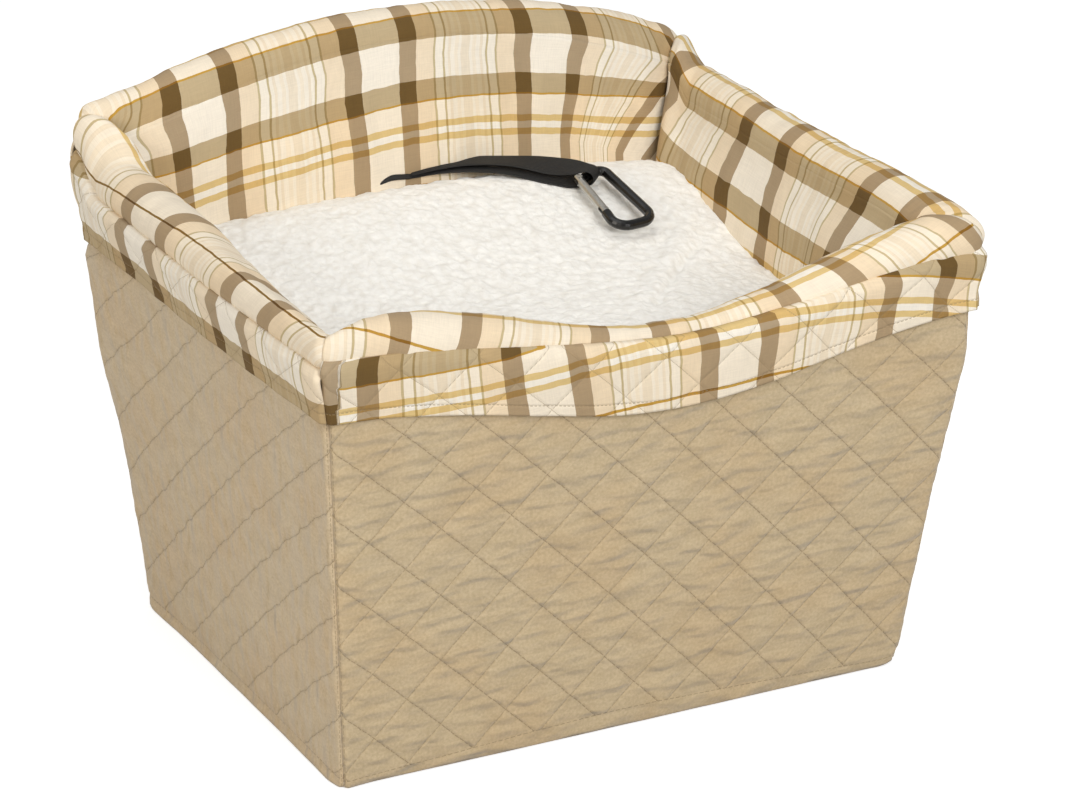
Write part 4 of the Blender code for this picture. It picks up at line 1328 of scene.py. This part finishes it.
@dataclass(frozen=True)
class RimRoll(WallPiece):
    """Padded plaid roll along the top of one wall, and the foam inside it."""

    columns: int = 216
    rows: int = 56
    pinch_from: float = 40.0
    corner_extra: float = 0.003
    lump: float = 0.0012
    gather: float = 0.0007
    corner_gather: float = 0.0010
    crease: float = 0.0004
    fold: float = 0.0016
    fold_pitch: float = 0.0095
    fold_length: float = 0.013
    knob: float = 0.0042
    knob_length: float = 0.030
    seam_depth: float = 0.0022
    weld: float = 1e-5
    core_share: float = 0.86
    core_columns: int = 60
    core_rows: int = 20

    def inner(self, share: Array, angle: Array) -> Array:
        """Share of the pinch that is felt at an angle round the roll: none outside and all of it inside."""
        return smooth((angle - self.pinch_from) / FORM.steepness(self.side, share))

    def ring(self, share: Array, angle: Array, radius: Array) -> Array:
        """Place points round the roll, where 0 degrees faces out and 90 degrees is the top."""
        turn = np.radians(angle)
        z = FORM.rim_z(self.side, share) + radius * np.sin(turn)
        inset = FORM.rim_inset - radius * np.cos(turn)
        corner = (FORM.corner_round + self.corner_extra) * (1 + np.cos(turn)) / 2
        return FORM.place(self.side, share, z, inset, corner)

    def build(self, finish: Material) -> Item:
        """Wrap the cloth round the roll, with its gathers and pinched corners."""
        skin = Skin(self.columns, self.rows)
        share = skin.u
        angle = skin.up * 360.0 - 90.0
        base = FORM.rim_r(self.side, share)
        flat = self.ring(share, angle, base)
        reach = flat[:, self.side.axis]
        far = self.far(share)
        seed = self.seed(61.0, 9.0)
        turn = np.radians(angle)
        around = np.stack([reach * 60.0, np.cos(turn) * 0.35, np.sin(turn) * 0.35], 1)
        lumps = ripple(flat, (22.0, 22.0, 30.0), seed)
        gather = ripple(around, (1.0, 1.0, 1.0), seed + 1)
        fine = ripple(around, (2.3, 1.6, 1.6), seed + 2)
        near_corner = 1 - smooth(far / 0.07)
        inner = self.inner(share, angle)
        folds = np.sin(far / self.fold_pitch * 2 * math.pi) * np.exp(-far / self.fold_length)
        folds = folds * inner * (self.side is not Side.FRONT)
        loose = self.lump * lumps + (self.gather + self.corner_gather * near_corner) * gather
        loose = loose + self.crease * fine + self.fold * folds
        radius = mix(base, FORM.inner_r(self.side, share), inner)
        radius = radius + loose * (1 - np.exp(-(((angle - 180.0) / 30.0) ** 2)))
        start, end = FORM.near(self.side, share, self.knob_length)
        at_knob = {Side.LEFT: end, Side.REAR: start}.get(self.side, 0.0)
        radius = radius + self.knob * at_knob * np.exp(-(((angle - 70.0) / 48.0) ** 2))
        outside = 1 - 0.75 * (1 - inner) * (self.side in (Side.FRONT, Side.LEFT)) * (share < 0)
        radius = radius - self.seam_depth * outside * (1 - smooth(far / 0.009))
        skin.measure("weave", *ROLL_WEAVES[self.side].measures(reach, angle, base))
        skin.measure("trim", far, angle * MM)
        skin.shape(self.ring(share, angle, radius))
        skin.close(self.weld)
        return self.join(skin, "rim_roll", "_cloth", finish, "plaid_cotton")

    def build_core(self, finish: Material) -> Item:
        """Shape the foam inside the roll."""
        skin = Skin(self.core_columns, self.core_rows)
        share = skin.u
        angle = skin.up * 360.0 - 90.0
        base, pinched = FORM.rim_r(self.side, share), FORM.inner_r(self.side, share)
        radius = mix(base, pinched, self.inner(share, angle))
        skin.shape(self.ring(share, angle, radius * self.core_share))
        skin.close(self.weld)
        return self.join(skin, "rim_foam_core", "_padding", finish, "foam")


@dataclass(frozen=True)
class LinerWeave:
    """How the plaid runs on from the roll down one liner wall.

    Rows hold the cloth's measure along the wall at depths below the roll's centre, and line the height
    of a known level line.
    """

    rows: tuple[tuple[float, Knots], ...]
    line: Knots
    level: float = 66.5

    def measures(
        self, side: Side, share: Array, reach: Array, depth: Array, fallen: Array
    ) -> tuple[Array, Array]:
        """Return both measures of the cloth in metres, from the depth for each and the wall's place."""
        inside = np.full_like(reach, 180.0)
        across, up = ROLL_WEAVES[side].measures(reach, inside, FORM.rim_r(side, share))
        reads = np.stack([across] + [follow(row, reach) * MM for _, row in self.rows])
        depths = [0.0] + [row[0] for row in self.rows]
        at = np.clip(np.interp(fallen, depths, range(len(depths))), 0, len(self.rows))
        low = np.clip(np.floor(at).astype(int), 0, max(len(self.rows) - 1, 0))
        pick = np.arange(len(reach))
        across = mix(reads[low, pick], reads[np.minimum(low + 1, len(self.rows)), pick], at - low)
        fall = FORM.rim_z(side, share) - follow(self.line, reach)
        known = self.level * MM
        return across, np.where(depth < fall, mix(up, known, depth / fall), known - (depth - fall))


REAR_ROWS = (
    (0.015, bands(-0.1945, -0.1490, -0.0473, -0.0012, 0.0981, 0.1444, 0.2300)),
    (0.040, bands(-0.1935, -0.1499, -0.0505, -0.0035, 0.0982, 0.1405, 0.2080)),
    (0.080, bands(-0.1918, -0.1499, -0.0467, -0.0034, 0.0959, 0.1312, 0.1800)),
)
SIDE_ROWS = (
    (0.012, bands(-0.175, -0.1150, -0.0010, 0.0605, 0.182)),
    (0.030, bands(-0.167, -0.1065, 0.0018, 0.0659, 0.186)),
    (0.045, bands(-0.161, -0.1040, -0.0005, 0.0652, 0.185)),
    (0.060, bands(-0.155, -0.1015, -0.0078, 0.0582, 0.181)),
)
SIDE_LINE = (
    (-0.2, 0.2893), (-0.1, 0.2918), (-0.0401, 0.2932), (0.0046, 0.2949), (0.0512, 0.2987), (0.0934, 0.3023),
    (0.16, 0.3083), (0.2, 0.312),
)
LINER_WEAVES: dict[Side, LinerWeave] = {
    Side.FRONT: LinerWeave(rows=(), line=((-0.2, 0.270), (0.2, 0.270)), level=100.0),
    Side.REAR: LinerWeave(
        rows=REAR_ROWS,
        line=(
            (-0.23, 0.344), (-0.19, 0.3525), (-0.1445, 0.3608), (-0.0453, 0.3743), (-0.0027, 0.3779),
            (0.0936, 0.3725), (0.2155, 0.3527),
        ),
    ),
    Side.LEFT: LinerWeave(rows=(), line=((-0.2, 0.290), (0.2, 0.290)), level=100.0),
    Side.RIGHT: LinerWeave(rows=SIDE_ROWS, line=SIDE_LINE),
}


@dataclass(frozen=True)
class LinerWall(WallPiece):
    """Padded plaid lining of one wall, which runs on from the roll down to the deck."""

    columns: int = 200
    rows: int = 60
    low: float = 0.2056
    foot_inset: float = 0.0345
    proud: float = 0.0003
    thickness: float = 0.009
    fold: float = 0.0028
    crease: float = 0.0010
    swell: float = 0.0022
    corner_fill: float = 0.0020
    bands_from: float = 0.007

    @property
    def bulge(self) -> float:
        """How far the padding leans into the seat towards its foot."""
        return {Side.RIGHT: 0.016, Side.LEFT: 0.008, Side.REAR: 0.003, Side.FRONT: 0.004}[self.side]

    def inset(self, share: Array, z: Array) -> Array:
        """Inset of the padding's face, before its folds."""
        top = FORM.rim_z(self.side, share)
        depth = top - z
        lean = self.bulge * smooth(depth / 0.075) * (1 - 0.25 * smooth((depth - 0.08) / 0.06))
        start = FORM.rim_inset + FORM.inner_r(self.side, share) + self.proud
        return mix(start, self.foot_inset, smooth(depth / 0.10)) + lean

    def build(self, finish: Material) -> Item:
        """Hang the lining, with the folds that the cushion pushes into it."""
        skin = Skin(self.columns, self.rows)
        share = skin.u
        top = FORM.rim_z(self.side, share)
        z = mix(self.low, top + 0.001, skin.up)
        inset = self.inset(share, z)
        depth = top - z
        seed = self.seed(91.0, 11.0)
        pinched = FORM.rim_r(self.side, share) - FORM.inner_r(self.side, share)
        reach = self.reach(share, z, inset + pinched * (1 - smooth(depth / 0.020)))
        places = np.stack([reach, z, z * 0], 1)
        folds = ripple(places, (30.0, 9.0, 1.0), seed) * smooth(depth / 0.05)
        creases = ripple(places, (85.0, 34.0, 1.0), seed + 1)
        swell = ripple(places, (12.0, 14.0, 1.0), seed + 2)
        far = self.far(share)
        inset = inset + self.fold * folds
        inset = inset + (self.crease * creases + self.swell * swell) * smooth(depth / 0.02)
        inset = inset - self.corner_fill * (1 - smooth(far / 0.008)) * smooth(depth / 0.01)
        level = FORM.rim_height + self.bands_from - z
        fallen = depth if self.side.crosswise else np.minimum(depth, np.maximum(level, 0.0))
        weave = LINER_WEAVES[self.side]
        skin.measure("weave", *weave.measures(self.side, share, reach, depth, fallen))
        skin.measure("trim", depth, far)
        skin.shape(FORM.place(self.side, share, z, inset))
        if not self.side.turned:
            skin.flip()
        made = self.join(skin, "liner_wall", "_cloth", finish, "plaid_cotton", self.thickness)
        return made


@dataclass(frozen=True)
class Cushion:
    """Fleece cushion: its lined case, two foam blocks and the pile on top."""

    gap: float = 0.002
    rear_gap: float = 0.010
    base: float = 0.2086
    level: float = 0.2740
    rise: float = 0.038
    rise_start: float = -0.030
    rise_length: float = 0.190
    crown: float = 0.008
    side_drop: float = 0.008
    end_drop: float = 0.010
    case_thickness: float = 0.002
    case_drop: float = 0.016
    fleece_thickness: float = 0.012
    clearance: float = 0.0003
    columns: int = 250
    rows: int = 200
    lump: float = 0.0016
    fold_from: tuple[float, float] = (0.075, -0.075)
    fold_to: tuple[float, float] = (0.170, 0.030)
    fold_ridge: float = 0.0030
    fold_groove: float = 0.0034
    swell: float = 0.0022
    floor_share: float = 0.78
    foam_grid: tuple[int, int] = (40, 20)
    case_grid: tuple[int, int] = (56, 44)
    passes: int = 6

    def lift(self, y: Array) -> Array:
        """How far the cushion is pushed up towards its rear."""
        return self.rise * smooth((y - self.rise_start) / self.rise_length)

    def spot(self, u: Array, v: Array, z: Array, shrink: float) -> tuple[Array, Array]:
        """Place shares from -1 to 1 inside the liner walls at a height."""
        inset = FORM.liner_inset(z) + self.gap + shrink
        rear = FORM.half_rear(z, inset) - (self.rear_gap - self.gap)
        return u * FORM.half_across(z, inset), mix(-FORM.half_front(z, inset), rear, (v + 1) / 2)

    def surface(self, u: Array, v: Array, shrink: float, drop: float) -> Array:
        """Place shares on the fleece's face or a distance below it."""
        z = self.level * np.ones_like(u)
        for _ in range(self.passes):
            x, y = self.spot(u, v, z, shrink)
            edges = self.side_drop * np.abs(u) ** 8 + self.end_drop * np.abs(v) ** 12
            z = self.level + self.lift(y) + self.crown * (1 - u * u) - edges - drop
        return np.stack([x, y, z], 1)

    def build_fleece(self, finish: Material) -> Item:
        """Clump the pile and lay one soft fold across its right half."""
        skin = Skin(self.columns, self.rows)
        u, v = skin.u, skin.v
        top = self.surface(u, v, 0.0, 0.0)
        under = self.surface(u, v, 0.0, self.fleece_thickness)
        places = top * np.array((1.0, 1.0, 0.0))
        lumps = ripple(places, (95.0, 95.0, 1.0), 7.0) + 0.6 * ripple(places, (210.0, 210.0, 1.0), 8.0)
        swell = ripple(places, (11.0, 11.0, 1.0), 9.0)
        start, end = np.array(self.fold_from), np.array(self.fold_to)
        length = np.linalg.norm(end - start)
        way = (end - start) / length
        offset = top[:, :2] - start
        run = offset @ way / length
        aside = offset @ np.array((-way[1], way[0])) + 0.006 * ripple(places, (18.0, 18.0, 1.0), 10.0)
        held = smooth((run + 0.15) / 0.3) * smooth((1.15 - run) / 0.3)
        ridge = self.fold_ridge * np.exp(-(((aside - 0.010) / 0.010) ** 2))
        groove = self.fold_groove * np.exp(-((aside / 0.004) ** 2))
        top[:, 2] += self.lump * lumps + self.swell * swell + held * (ridge - groove)
        skin.measure("weave", top[:, 0], top[:, 1])
        skin.shape(top)
        skin.fill_down(under)
        made = settle(skin.piece("fleece_top_pile", finish), "white_fleece", "fleece_top")
        return made

    def build_foam(self, name: str, start: float, end: float, gap: float, finish: Material) -> Item:
        """Cut one foam block from a start to an end share of the cushion's depth."""
        skin = Skin(*self.foam_grid)
        u, v = skin.u, mix(start, end, skin.up)
        inner = self.case_thickness + self.clearance
        top = self.surface(u, v, inner, self.fleece_thickness + self.clearance)
        z = (self.base + inner) * np.ones_like(u)
        x, y = self.spot(u, v, z, inner)
        bottom = np.stack([x, y, z], 1)
        shift = np.array((0.0, 1.0, 0.0)) * gap * (1 - skin.up)[:, None]
        skin.shape(top + shift)
        skin.fill_down(bottom + shift)
        made = settle(skin.piece(name + "_block", finish), "foam", name)
        return made

    def build_case(self, finish: Material) -> Item:
        """Sew the case as an open tray: a floor whose edges are drawn up into four sides."""
        skin = Skin(*self.case_grid)
        u, v = skin.u, skin.v
        reach = np.maximum(np.abs(u), np.abs(v))
        wall = np.clip((reach - self.floor_share) / (1 - self.floor_share), 0, 1)
        hold = np.minimum(reach / self.floor_share, 1.0) / np.maximum(reach, 1e-6)
        u, v = u * hold, v * hold
        rim = self.level - self.side_drop - self.end_drop - self.case_drop
        rim = rim + self.lift(v * FORM.half_rear(rim, 0.0)) / 2 * (v > 0)
        z = mix(self.base + self.case_thickness, rim, wall)
        x, y = self.spot(u, v, z, self.case_thickness)
        skin.measure("weave", x, y)
        skin.shape(np.stack([x, y, z], 1))
        made = skin.piece("cushion_case_sewn", finish, self.case_thickness)
        return settle(made, "cushion_lining", "cushion_case")


@dataclass(frozen=True)
class BeltLoop:
    """Webbing loop that is sewn to the rear wall at both ends."""

    name: str
    x: float
    width: float = 0.038
    thickness: float = 0.002
    lift: float = 0.0025
    heights: Knots = (
        (0.135, 0.0), (0.155, 0.0), (0.165, 0.010), (0.215, 0.010), (0.225, 0.0), (0.245, 0.0),
    )
    softened: tuple[float, ...] = (-3.0, -1.5, 0.0, 1.5, 3.0)
    grid: tuple[int, int] = (16, 90)

    def build(self, finish: Material) -> Item:
        """Bend the webbing out over the gap that a belt passes through."""
        skin = Skin(*self.grid)
        across = (skin.along - 0.5) * self.width
        heights, outs = np.array(self.heights).T
        z = mix(heights[0], heights[-1], skin.up)
        out = np.interp(z, heights, outs)
        soft = [np.interp(z + step * MM, heights, outs) for step in self.softened]
        out = mix(out, np.mean(soft, axis=0), 0.9) + self.lift + self.thickness
        places = np.stack([self.x + across, FORM.half_rear(z, 0.0) + out, z], 1)
        skin.measure("weave", z, across)
        skin.shape(places)
        skin.flip()
        item = settle(skin.piece(self.name + "_webbing", finish, self.thickness), "webbing", self.name)
        return item


@dataclass(frozen=True)
class Tether:
    """Doubled webbing from the rear of the cushion to the carabiner."""

    route: tuple[tuple[float, float, float], ...] = (
        (-0.0030, 0.1815, 0.3225), (0.0160, 0.1785, 0.3238), (0.0420, 0.1730, 0.3236),
        (0.0700, 0.1575, 0.3232), (0.0950, 0.1365, 0.3222), (0.1090, 0.1230, 0.3218),
        (0.1190, 0.1130, 0.3217),
    )
    edges: tuple[tuple[float, float, float], ...] = (
        (0.25, -0.93, -0.25), (0.08, -0.97, -0.18), (-0.15, -0.97, -0.10), (-0.40, -0.90, -0.12),
        (-0.55, -0.72, -0.40), (-0.70, -0.60, -0.36), (-0.9088, -0.4026, -0.1098),
    )
    widths: tuple[float, ...] = (0.70, 0.76, 0.86, 0.95, 1.00, 0.95, 0.72)
    foot: tuple[float, float, float] = (-0.0460, 0.1743, 0.2500)
    root: tuple[tuple[float, float, float], ...] = (
        (-0.0460, 0.1850, 0.3115), (-0.0430, 0.1846, 0.3200), (-0.0265, 0.1832, 0.3243),
        (-0.0051, 0.1818, 0.3222),
    )
    root_edges: tuple[tuple[float, float, float], ...] = (
        (1.00, 0.00, 0.00), (0.95, -0.15, -0.20), (0.62, -0.70, -0.40), (-0.117, -0.946, -0.301),
    )
    root_widths: tuple[float, ...] = (0.90, 0.92, 0.84, 0.70)
    width: float = 0.020
    thickness: float = 0.0016
    run_offset: float = 0.0013
    loop_offset: float = 0.0058
    upper_lift: float = 0.0022
    upper_slip: float = 0.0044
    lower_slip: float = 0.0038
    steps: int = 9
    around: int = 24
    doubled: float = 0.0010

    def curve(self, points: Sequence[Sequence[float]]) -> Array:
        """Read a smooth curve through points, with steps between each pair."""
        held = np.array(points, float)
        held = np.concatenate([[2 * held[0] - held[1]], held, [2 * held[-1] - held[-2]]])
        made = []
        for i in range(1, len(held) - 2):
            a, b, c, d = held[i - 1:i + 3]
            for k in range(self.steps):
                t = k / self.steps
                square, cube = 2 * a - 5 * b + 4 * c - d, 3 * b - a - 3 * c + d
                made.append((2 * b + (c - a) * t + square * t**2 + cube * t**3) / 2)
        return np.array(made + [held[-2]])

    def frames(self, points: Sequence, edges: Sequence, widths: Sequence[float]) -> tuple[Array, ...]:
        """Return centres, edge ways, face ways and half widths along the webbing."""
        centres, edge = self.curve(points), self.curve(edges)
        half = self.curve([(share, 0.0, 0.0) for share in widths])[:, 0] * self.width / 2
        tangent = np.gradient(centres, axis=0)
        tangent /= np.linalg.norm(tangent, axis=1)[:, None]
        edge = edge - tangent * np.sum(edge * tangent, axis=1)[:, None]
        edge /= np.linalg.norm(edge, axis=1)[:, None]
        return centres, edge, np.cross(tangent, edge), half

    def band(self, centres: Array, edge: Array, face: Array, half: Array) -> Skin:
        """Wrap a flat rounded band round a line."""
        skin = Skin(len(centres) - 1, self.around)
        i = np.rint(skin.along * (len(centres) - 1)).astype(int)
        turn = skin.up * 2 * math.pi
        wide = np.sign(np.cos(turn)) * np.abs(np.cos(turn)) ** 0.35 * half[i]
        thick = np.sign(np.sin(turn)) * np.abs(np.sin(turn)) ** 0.7 * self.thickness / 2
        places = centres[i] + edge[i] * wide[:, None] + face[i] * thick[:, None]
        length = np.concatenate([[0.0], np.cumsum(np.linalg.norm(np.diff(centres, axis=0), axis=1))])
        skin.measure("weave", length[i], wide)
        skin.shape(places)
        skin.close(1e-7)
        return skin

    def build(self, finish: Material, with_pieces: Sequence[Item]) -> Item:
        """Fold the webbing at its root and turn it round the carabiner's bar."""
        centres, edge, face, half = self.frames(self.route, self.edges, self.widths)
        last = len(centres) - 1
        along = (np.arange(last + 1) / last)[:, None]
        offset = mix(self.run_offset, self.loop_offset, smooth((along - 0.62) / 0.38))
        apart = smooth((along - 0.15) / 0.50) * smooth((1 - along) / 0.22)
        raised = self.upper_slip * smooth(along / 0.42) * (1 - smooth((along - 0.38) / 0.52))
        lowered = self.lower_slip * smooth((along - 0.08) / 0.62) * (1 - 0.7 * smooth((along - 0.84) / 0.16))
        upper = centres - face * offset - apart * face * self.upper_lift - edge * raised
        lower = centres + face * offset + edge * lowered
        forward = np.cross(edge, face)
        root = centres[0], forward[0], face[0], self.run_offset
        tip = centres[-1], forward[-1], face[-1], self.loop_offset
        start, start_ways = self.bend(*root, (-60.0, -30.0))
        loop, loop_ways = self.bend(*tip, range(18, 180, 18))
        end, end_ways = self.bend(*root, (210.0, 240.0))
        line = np.concatenate([start, upper, loop, lower[::-1], end])
        faces = np.concatenate([start_ways, -face, loop_ways, face[::-1], end_ways])
        out = list(range(last + 1))
        at = [0, 0] + out + [last] * len(loop) + out[::-1] + [0, 0]
        skin = self.band(line, edge[at], faces, half[at])
        made = settle(skin.piece("tether_strap_webbing", finish), "webbing", "tether_strap", body="tether")
        length = float(np.linalg.norm(np.diff(centres, axis=0), axis=1).sum())
        return made

    @staticmethod
    def bend(
        centre: Array, forward: Array, face: Array, radius: float, angles: Sequence[float]
    ) -> tuple[Array, Array]:
        """Return places on a bend and the ways that they face; 0 degrees lies behind the face way."""
        turns = np.radians(angles)[:, None]
        outs = forward * np.sin(turns) - face * np.cos(turns)
        return centre + outs * radius, outs

    def build_root(self, finish: Material) -> Item:
        """Bring the webbing up out of the crevice behind the cushion."""
        centres, edge, face, half = self.frames(self.root, self.root_edges, self.root_widths)
        centres = np.concatenate([[self.foot], centres])
        edge, face = np.concatenate([edge[:1], edge]), np.concatenate([face[:1], face])
        half = np.concatenate([half[:1], half])
        skin = self.band(centres, edge, face, half)
        made = skin.piece("tether_root_webbing", finish)
        shell = made.modifiers.new("doubled", "DISPLACE")
        shell.strength = self.doubled
        shell.mid_level = 0.0
        return settle(made, "webbing", "tether_root")


@dataclass(frozen=True)
class CadFinishes:
    """Finishes for the solids that keep their own shape."""

    boards: tuple[str, ...] = (
        "base_board", "deck_board", "long_divider", "cross_divider",
        *(side.value + "_stiffener_board" for side in Side),
    )
    black: tuple[str, ...] = ("carabiner_body",)
    bright: tuple[str, ...] = (
        "carabiner_gate", "gate_rivet", "gate_latch_pin", "gate_plunger", "gate_spring",
    )

    def dress(self, nodes: dict[str, Item], finishes: Finishes) -> None:
        """Give each kept solid its material."""
        for names, finish in (
            (self.boards, finishes.board), (self.black, finishes.black_metal), (self.bright, finishes.steel)
        ):
            for name in names:
                nodes[name].data.materials.clear()
                nodes[name].data.materials.append(finish)
                LOG.info("%s dressed", name)


@dataclass(frozen=True)
class FlatCloth:
    """Level sheet that fills the box at one height: the fabric base, or the liner's floor."""

    name: str
    low: float
    high: float
    inset: float
    slot: str
    corner: float = 0.018
    from_hem: float = 0.05
    grid: tuple[int, int] = (120, 96)

    def build(self, finish: Material) -> Item:
        """Cut the sheet to the box, with its corners rounded."""
        skin = Skin(*self.grid)
        u, v = skin.u, skin.v
        z = self.high * np.ones_like(u)
        inset = np.full_like(u, self.inset)
        x = u * FORM.half_across(self.low, inset)
        y = mix(-FORM.half_front(self.low, inset), FORM.half_rear(self.low, inset), (v + 1) / 2)
        edges = np.stack([np.full_like(u, x.max()), np.where(y < 0, -y.min(), y.max())])
        beyond = np.abs(np.stack([x, y])) - (edges - self.corner)
        drawn_in = np.max(beyond, axis=0) / np.maximum(np.hypot(*beyond), 1e-9)
        round_off = np.where(np.all(beyond > 0, axis=0), drawn_in, 1.0)
        x = x - np.sign(x) * (1 - round_off) * np.maximum(beyond[0], 0.0)
        y = y - np.sign(y) * (1 - round_off) * np.maximum(beyond[1], 0.0)
        skin.measure("weave", x, y)
        skin.measure("trim", *[np.full_like(u, self.from_hem)] * 2)
        skin.shape(np.stack([x, y, z], 1))
        made = skin.piece(self.name + "_cloth", finish, self.high - self.low)
        return settle(made, self.slot, self.name)


@dataclass(frozen=True)
class Studio:
    """Pale floor, soft lamps and the camera."""

    azimuth: float = -27.0
    elevation: float = 21.235
    distance: float = 2.9035
    target: tuple[float, float, float] = (0.0181, 0.0, 0.1925)
    lens: float = 127.643
    sensor: float = 36.0
    floor_size: float = 24.0
    floor_drop: float = 0.0004
    floor_grey: float = 0.62
    floor_glow: float = 0.68
    world_strength: float = 0.385
    lamps: tuple[tuple[str, tuple[float, float, float], float, float, Colour], ...] = (
        ("key", (0.22, -3.1, 2.0), 1.4, 67.0, (1.0, 1.0, 1.0)),
        ("fill", (-2.7, -0.9, 1.2), 1.6, 29.0, (1.0, 0.93, 0.83)),
        ("top", (-0.2, 0.3, 2.6), 1.8, 12.5, (1.0, 1.0, 1.0)),
    )

    def add_camera(self) -> None:
        """Stand the camera where the seat is seen from."""
        azimuth, elevation = math.radians(self.azimuth), math.radians(self.elevation)
        level = math.cos(elevation)
        back = Vector((math.sin(azimuth) * level, -math.cos(azimuth) * level, math.sin(elevation)))
        data = bpy.data.cameras.new("camera")
        data.lens = self.lens
        data.sensor_width = self.sensor
        camera = bpy.data.objects.new("camera", data)
        camera.location = Vector(self.target) + back * self.distance
        camera.rotation_euler = (-back).to_track_quat("-Z", "Y").to_euler()
        bpy.context.collection.objects.link(camera)
        bpy.context.scene.camera = camera

    def add_lamps(self) -> None:
        """Hang the soft lamps and the plain world."""
        for name, place, size, power, colour in self.lamps:
            data = bpy.data.lights.new(name, "AREA")
            data.color = colour
            data.size = size
            data.energy = power
            lamp = bpy.data.objects.new(name, data)
            lamp.location = place
            lamp.rotation_euler = (Vector(self.target) - Vector(place)).to_track_quat("-Z", "Y").to_euler()
            bpy.context.collection.objects.link(lamp)
        world = bpy.data.worlds.new("studio")
        world.use_nodes = True
        tree = world.node_tree
        background = tree.nodes["Background"]
        path = tree.nodes.new("ShaderNodeLightPath")
        strength = tree.nodes.new("ShaderNodeMix")
        strength.inputs[2].default_value = self.world_strength
        strength.inputs[3].default_value = 1.0
        tree.links.new(path.outputs["Is Camera Ray"], strength.inputs[0])
        tree.links.new(strength.outputs[0], background.inputs["Strength"])
        background.inputs["Color"].default_value = (1.0, 1.0, 1.0, 1.0)
        bpy.context.scene.world = world

    def add_floor(self) -> None:
        """Lay the pale floor, which the camera sees as white but for the seat's shadow."""
        bm = bmesh.new()
        bmesh.ops.create_grid(bm, x_segments=1, y_segments=1, size=self.floor_size / 2)
        mesh = bpy.data.meshes.new("floor")
        bm.to_mesh(mesh)
        bm.free()
        floor = bpy.data.objects.new("floor", mesh)
        floor.location.z = -self.floor_drop
        bpy.context.collection.objects.link(floor)
        made = Finish("floor")
        seen = made.node("ShaderNodeLightPath", output="Is Camera Ray")
        glossy = made.node("ShaderNodeLightPath", output="Is Glossy Ray")
        glow = made.blend((seen + glossy) * self.floor_glow, (0.0, 0.0, 0.0), (1.0, 1.0, 1.0))
        grey = (self.floor_grey,) * 3
        finish = made.dress(base_color=grey, roughness=0.9, emission_color=glow, emission_strength=1.0)
        floor.data.materials.append(finish)

    def set_up(self) -> None:
        """Set the studio up."""
        self.add_camera()
        self.add_lamps()
        self.add_floor()
        bpy.context.scene.view_settings.view_transform = "Standard"


def clear_scene() -> None:
    """Remove the objects that a new file opens with."""
    for item in list(bpy.data.objects):
        bpy.data.objects.remove(item, do_unlink=True)


def main() -> None:
    """Build the looks in order."""
    logging.basicConfig(level=logging.INFO, format="%(name)s: %(message)s")
    clear_scene()
    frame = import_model()
    Studio().set_up()
    finishes = Finishes.make()
    nodes = frame["nodes"]
    CadFinishes().dress(nodes, finishes)
    tether = Tether()
    hook = (
        "carabiner_body", "gate_rivet", "carabiner_gate", "gate_latch_pin", "gate_plunger", "gate_spring",
    )
    on_tether = [nodes[name] for name in hook]
    tether.build(finishes.tether_webbing, on_tether)
    tether.build_root(finishes.tether_webbing)
    for side in Side:
        QuiltedWall(side).build(finishes.suede if side.crosswise else finishes.side_suede)
        Cuff(side).build(finishes.quilted_plaid)
        roll = RimRoll(side)
        # The left roll takes the plaid with painted crease shade on its gold line
        roll.build(finishes.dark_lined_plaid if side is Side.LEFT else finishes.plaid)
        roll.build_core(finishes.foam)
        LinerWall(side).build(finishes.plaid)
    cushion = Cushion()
    cushion.build_fleece(finishes.fleece)
    cushion.build_foam("cushion_front_foam", -1.0, 0.0, 0.0, finishes.foam)
    cushion.build_foam("cushion_rear_foam", 0.0, 1.0, cushion.clearance, finishes.foam)
    cushion.build_case(finishes.lining)
    BeltLoop("left_belt_loop", -0.120).build(finishes.loop_webbing)
    BeltLoop("right_belt_loop", 0.120).build(finishes.loop_webbing)
    FlatCloth("base_cover", 0.0, 0.003, 0.0060, "tan_suede").build(finishes.suede)
    FlatCloth("liner_floor", 0.2053, 0.2083, 0.0340, "plaid_cotton").build(finishes.plaid)


if __name__ == "__main__":
    main()
